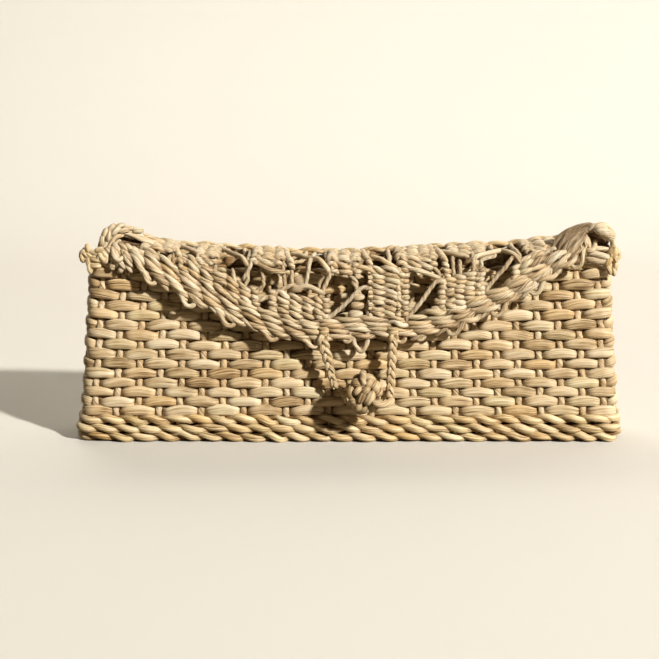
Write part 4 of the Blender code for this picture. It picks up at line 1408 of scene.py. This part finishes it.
def rim_knot(side_name, way, heap):
    node = "rim_knot_" + side_name
    centre = middle(node) + np.array([0.0016 * way, 0, rim_rise(0.155) * 0.7 + 0.0042])
    cords = Cords()
    coil(cords, centre, np.array([0.0028, 0.0026, 0.0030]), 0.0013, 4)
    radii = np.array([0.0040, 0.0036, 0.0046])
    for out, up, slant, half, radius in (
        (-0.3, 0.6, 20, 1.0, 1.7), (0.4, 0.5, -30, 0.9, 1.6), (-0.5, -0.3, 70, 0.8, 1.7),
        (0.4, -0.4, 15, 0.9, 1.7), (0, 0.1, 45, 0.8, 1.6),
    ):
        knot_arc(cords, centre, radii, out * way, up, slant * way, half, radius * MM)
    for out, y, up, slant, half, radius in heap:
        place = centre + np.array([out * way, y, up]) * MM
        along = unit(slant_direction(slant, 0.10, way))
        facing = np.array([0.35 * way, -1.0, 0.25])
        facing = unit(facing - along * (facing @ along))
        angle = np.linspace(-1.15, 1.15, 13)
        path = place + np.outer(np.sin(angle) * half * MM, along)
        path = path + np.outer((np.cos(angle) - 0.6) * 0.0018, facing)
        normal = np.outer(np.sin(angle) * 0.5, along) + np.outer(np.cos(angle), facing)
        cords.add(path, normal, radius * MM, radius * 0.92 * MM, sides=12, twist=28, plies=3,
                  groove=0.13, ends=(0.4, 0.4), end_len=0.0022, tone=rng.normal(0.56, 0.09))
    cords.piece("rim_knot_strands_" + side_name, MAT_ROPE, "tub", node)


rim_knot("left", -1, LEFT_HEAP)
rim_knot("right", 1, RIGHT_HEAP)

# ---- Closing loop ---------------------------------------------------------------------------------
BIGHT_Y = -0.0262


def braid(cords, line, radius, width, period, taper):
    """Three strands plaited along the line, facing the front."""
    step = 0.0007
    line = even(line, step)
    count = len(line)
    tangent = unit(np.gradient(line, axis=0))
    forward = np.array([0.0, -1.0, 0.0])
    normal = unit(forward - tangent * (tangent @ forward)[:, None])
    side = np.cross(tangent, normal)
    shrink = 1 - taper * np.linspace(0, 1, count)
    for k in range(3):
        phase = 2 * np.pi * (np.arange(count) * step / period + k / 3)
        path = line + side * (width * np.sin(phase) * shrink)[:, None]
        path = path + normal * (0.0011 * np.sin(2 * phase) * shrink)[:, None]
        # painted shade where each strand passes behind the others
        cords.add(path, normal, radius * shrink, radius * 0.85 * shrink, twist=45, plies=3,
                  groove=0.10, tone=0.60 + rng.normal(0, 0.06) + wander(count, 12, 0.06),
                  crease=0.45 * np.clip(-np.sin(2 * phase), 0, 1), end_len=0.003, ends=(0.5, 0.3))


def thin_pair(cords, stations, per, across=None):
    """Two thin strands twisted together; across is the x axis, or square to the path if not given."""
    path = even(spline(np.array(stations), per), 0.0008)
    if across is None:
        across = unit(np.cross(np.gradient(path, axis=0), [0.0, 1.0, 0.0]))
    for k in range(2):
        turn = (2 * np.pi * np.arange(len(path)) * 0.0008 / 0.009 + np.pi * k)[:, None]
        wound = path + across * (0.0006 * np.cos(turn)) + 0.0006 * np.sin(turn) * [0, 1, 0]
        cords.add(wound, (0, -1, 0), 0.00100, 0.00100, sides=8, twist=60, tone=0.6)


def loop_leg(side_name, way, top_shift, top_lift, full, radius, width, period, taper):
    """A braided leg, and the pair that goes on behind the knot; full is the braid's share."""
    node = "closure_loop_leg_" + side_name
    low, high = corners(node)
    outer, inner = (high[0], low[0]) if way > 0 else (low[0], high[0])
    top_x = outer + top_shift
    span_x = inner + way * 0.0018 - top_x
    fall = low[2] - high[2]
    y0, y1 = low[1] + 0.0014, high[1] - 0.0018
    line = spline((
        (top_x, y0 + 0.0004, high[2] + top_lift),
        (top_x, y0, high[2] - 0.002),
        (top_x + span_x * 0.5 * full * 1.2, y0, high[2] + fall * 0.5 * full),
        (top_x + span_x * min(1, full * 1.2), (y0 + y1) / 2, high[2] + fall * full),
    ), 20)
    cords = Cords()
    braid(cords, line, radius, width, period, taper)
    beside = np.array([KNOT_CENTRE[0] + way * 0.0148, BIGHT_Y - 0.0012, KNOT_CENTRE[2] + 0.0030])
    end = (KNOT_CENTRE[0] + way * 0.0132, BIGHT_Y, KNOT_CENTRE[2] - 0.0010)
    thin_pair(cords, (line[-14], (line[-3] + beside) / 2, end), 14, across=np.array([1, 0, 0]))
    cords.piece("loop_braid_" + side_name, MAT_LOOP, "loop", node)


def loop_binding(side_name, shift_x):
    """Four turns of strand round the top of a leg."""
    node = "loop_anchor_" + side_name
    low, high = corners(node)
    x, y, _ = (low + high) / 2 + np.array([shift_x, 0, 0])
    cords = Cords()
    for k in range(4):
        z = low[2] + 0.0012 + (high[2] - low[2] - 0.0024) * k / 3
        angle = np.linspace(-0.2, 2 * np.pi + 0.2, 26)
        path = points(
            x + 0.0026 * np.cos(angle),
            y + 0.0006 + 0.0021 * np.sin(angle),
            z + 0.0007 * np.sin(angle / 2) + 0.0004 * np.cos(angle),
        )
        cords.add(path, points(np.cos(angle), np.sin(angle), 0), 0.00125, 0.0010, sides=9,
                  twist=40, plies=3, groove=0.1)
    cords.piece("loop_binding_" + side_name, MAT_LOOP, "flap_drop", node)


loop_leg("left", -1, top_shift=-0.0008, top_lift=0.0030, full=0.72, radius=0.00178, width=0.0022,
         period=0.0165, taper=0.42)
loop_binding("left", -0.0024)
loop_leg("right", 1, top_shift=-0.0018, top_lift=0.0040, full=0.86, radius=0.00160, width=0.0016,
         period=0.0150, taper=0.15)
loop_binding("right", 0.0)

# the bight under the knot, from the end of one leg to the other
cords = Cords()
thin_pair(cords, np.array([KNOT_CENTRE[0], BIGHT_Y, KNOT_CENTRE[2]]) + np.array([
    (-0.0132, 0.0, -0.0010), (-0.0112, 0.0006, -0.0062), (-0.0062, 0.0014, -0.0094),
    (0.0, 0.0016, -0.0102), (0.0062, 0.0014, -0.0094), (0.0112, 0.0006, -0.0062),
    (0.0132, 0.0, -0.0010),
]), 12)
cords.piece("loop_bight_cord", MAT_LOOP, "loop", "closure_loop_bight")

# ---- Stage, light, camera -------------------------------------------------------------------------


def floor_material():
    """Pale where the camera sees it.

    As a bounce it is dark in front, so the light under the flap stays low, and pale behind, so the
    back is lit. The far floor fades into the backdrop.
    """
    material, tree, shader = new_material("studio_floor")
    noise = add_node(tree, "TexNoise", {"Scale": 9.0, "Detail": 4.0}).outputs["Fac"]
    pale = add_ramp(tree, noise, (0.0, (0.60, 0.58, 0.53)), (1.0, (0.65, 0.63, 0.58)))

    def ranged(value, low, high):
        limits = {"Value": value, "From Min": low, "From Max": high, "To Min": 0.0, "To Max": 1.0}
        return add_node(tree, "MapRange", limits).outputs[0]

    camera_ray = add_node(tree, "LightPath", {}).outputs["Is Camera Ray"]
    place = add_node(tree, "NewGeometry", {}).outputs["Position"]
    far = add_node(tree, "VectorMath", {0: place}, operation="LENGTH").outputs["Value"]
    fade = ranged(far, 0.8, 2.4)
    behind = ranged(add_node(tree, "SeparateXYZ", {0: place}).outputs["Y"], -0.02, 0.14)
    seen = add_mix(tree, fade, pale, (0.02, 0.02, 0.02, 1))
    bounce = add_mix(tree, behind, (0.155, 0.12, 0.07, 1), (0.80, 0.77, 0.70, 1))
    glow = add_node(tree, "Math", {0: fade, 1: camera_ray}, operation="MULTIPLY").outputs[0]
    set_inputs(tree, shader, {
        "Base Color": add_mix(tree, camera_ray, bounce, seen),
        "Roughness": 0.85,
        "Emission Color": (0.72, 0.69, 0.62, 1),
        "Emission Strength": glow,
    })
    return material


def studio_floor():
    """A floor that curves up into a wall behind the bag."""
    curve_y, curve_r, half_width = 0.55, 0.35, 6.0
    profile = [(-6.0, 0.0), (curve_y, 0.0)]  # y, z
    for angle in np.linspace(0.1, math.pi / 2, 12):
        y = curve_y + curve_r * math.sin(angle)
        profile.append((y, curve_r - curve_r * math.cos(angle)))
    profile.append((curve_y + curve_r, 1.8))
    verts = [(x, y, z - 0.0002) for y, z in profile for x in (-half_width, half_width)]
    faces = [(2 * i, 2 * i + 1, 2 * i + 3, 2 * i + 2) for i in range(len(profile) - 1)]
    mesh = bpy.data.meshes.new("studio_floor")
    mesh.from_pydata(verts, [], faces)
    mesh.shade_smooth()
    obj = bpy.data.objects.new("studio_floor", mesh)
    bpy.context.collection.objects.link(obj)
    mesh.materials.append(floor_material())


def area_light(name, location, target, size, power, colour):
    data = bpy.data.lights.new(name, "AREA")
    data.shape = "DISK"
    data.size = size
    data.energy = power
    data.color = colour
    obj = bpy.data.objects.new(name, data)
    bpy.context.collection.objects.link(obj)
    obj.location = location
    aim = Vector(target) - Vector(location)
    obj.rotation_euler = aim.to_track_quat("-Z", "Y").to_euler()


def backdrop():
    """A pale backdrop for the camera that lights the bag only dimly."""
    world = bpy.data.worlds.new("studio")
    bpy.context.scene.world = world
    world.use_nodes = True
    tree = world.node_tree
    camera_ray = add_node(tree, "LightPath", {}).outputs["Is Camera Ray"]
    colour = add_mix(tree, camera_ray, (0.040, 0.032, 0.021, 1), (0.74, 0.705, 0.635, 1))
    set_inputs(tree, tree.nodes["Background"], {"Color": colour, "Strength": 1.0})


def camera():
    elevation, distance = math.radians(13.0), 0.85
    view_width = 0.3954  # seen at the target's distance
    target = Vector((-0.0123, -0.020, 0.0696))
    data = bpy.data.cameras.new("camera")
    obj = bpy.data.objects.new("camera", data)
    bpy.context.collection.objects.link(obj)
    back, up = math.cos(elevation) * distance, math.sin(elevation) * distance
    obj.location = target + Vector((0, -back, up))
    obj.rotation_euler = (target - obj.location).to_track_quat("-Z", "Y").to_euler()
    data.sensor_fit = "HORIZONTAL"
    data.angle = 2 * math.atan(0.5 * view_width / distance)
    data.clip_start, data.clip_end = 0.05, 10
    bpy.context.scene.camera = obj
    bpy.context.scene.view_settings.view_transform = "Standard"


studio_floor()
area_light("key", (2.92, -2.66, 2.45), target=(0, 0, 0.06), size=0.28, power=384,
           colour=(1.0, 0.955, 0.89))
area_light("fill", (-1.2, -1.0, 0.7), target=(0, 0, 0.06), size=1.1, power=0.4,
           colour=(1.0, 0.93, 0.82))
area_light("back", (-0.30, 0.62, 1.15), target=(0, 0.01, 0.06), size=0.5, power=3.0,
           colour=(1.0, 0.965, 0.91))
backdrop()
camera()
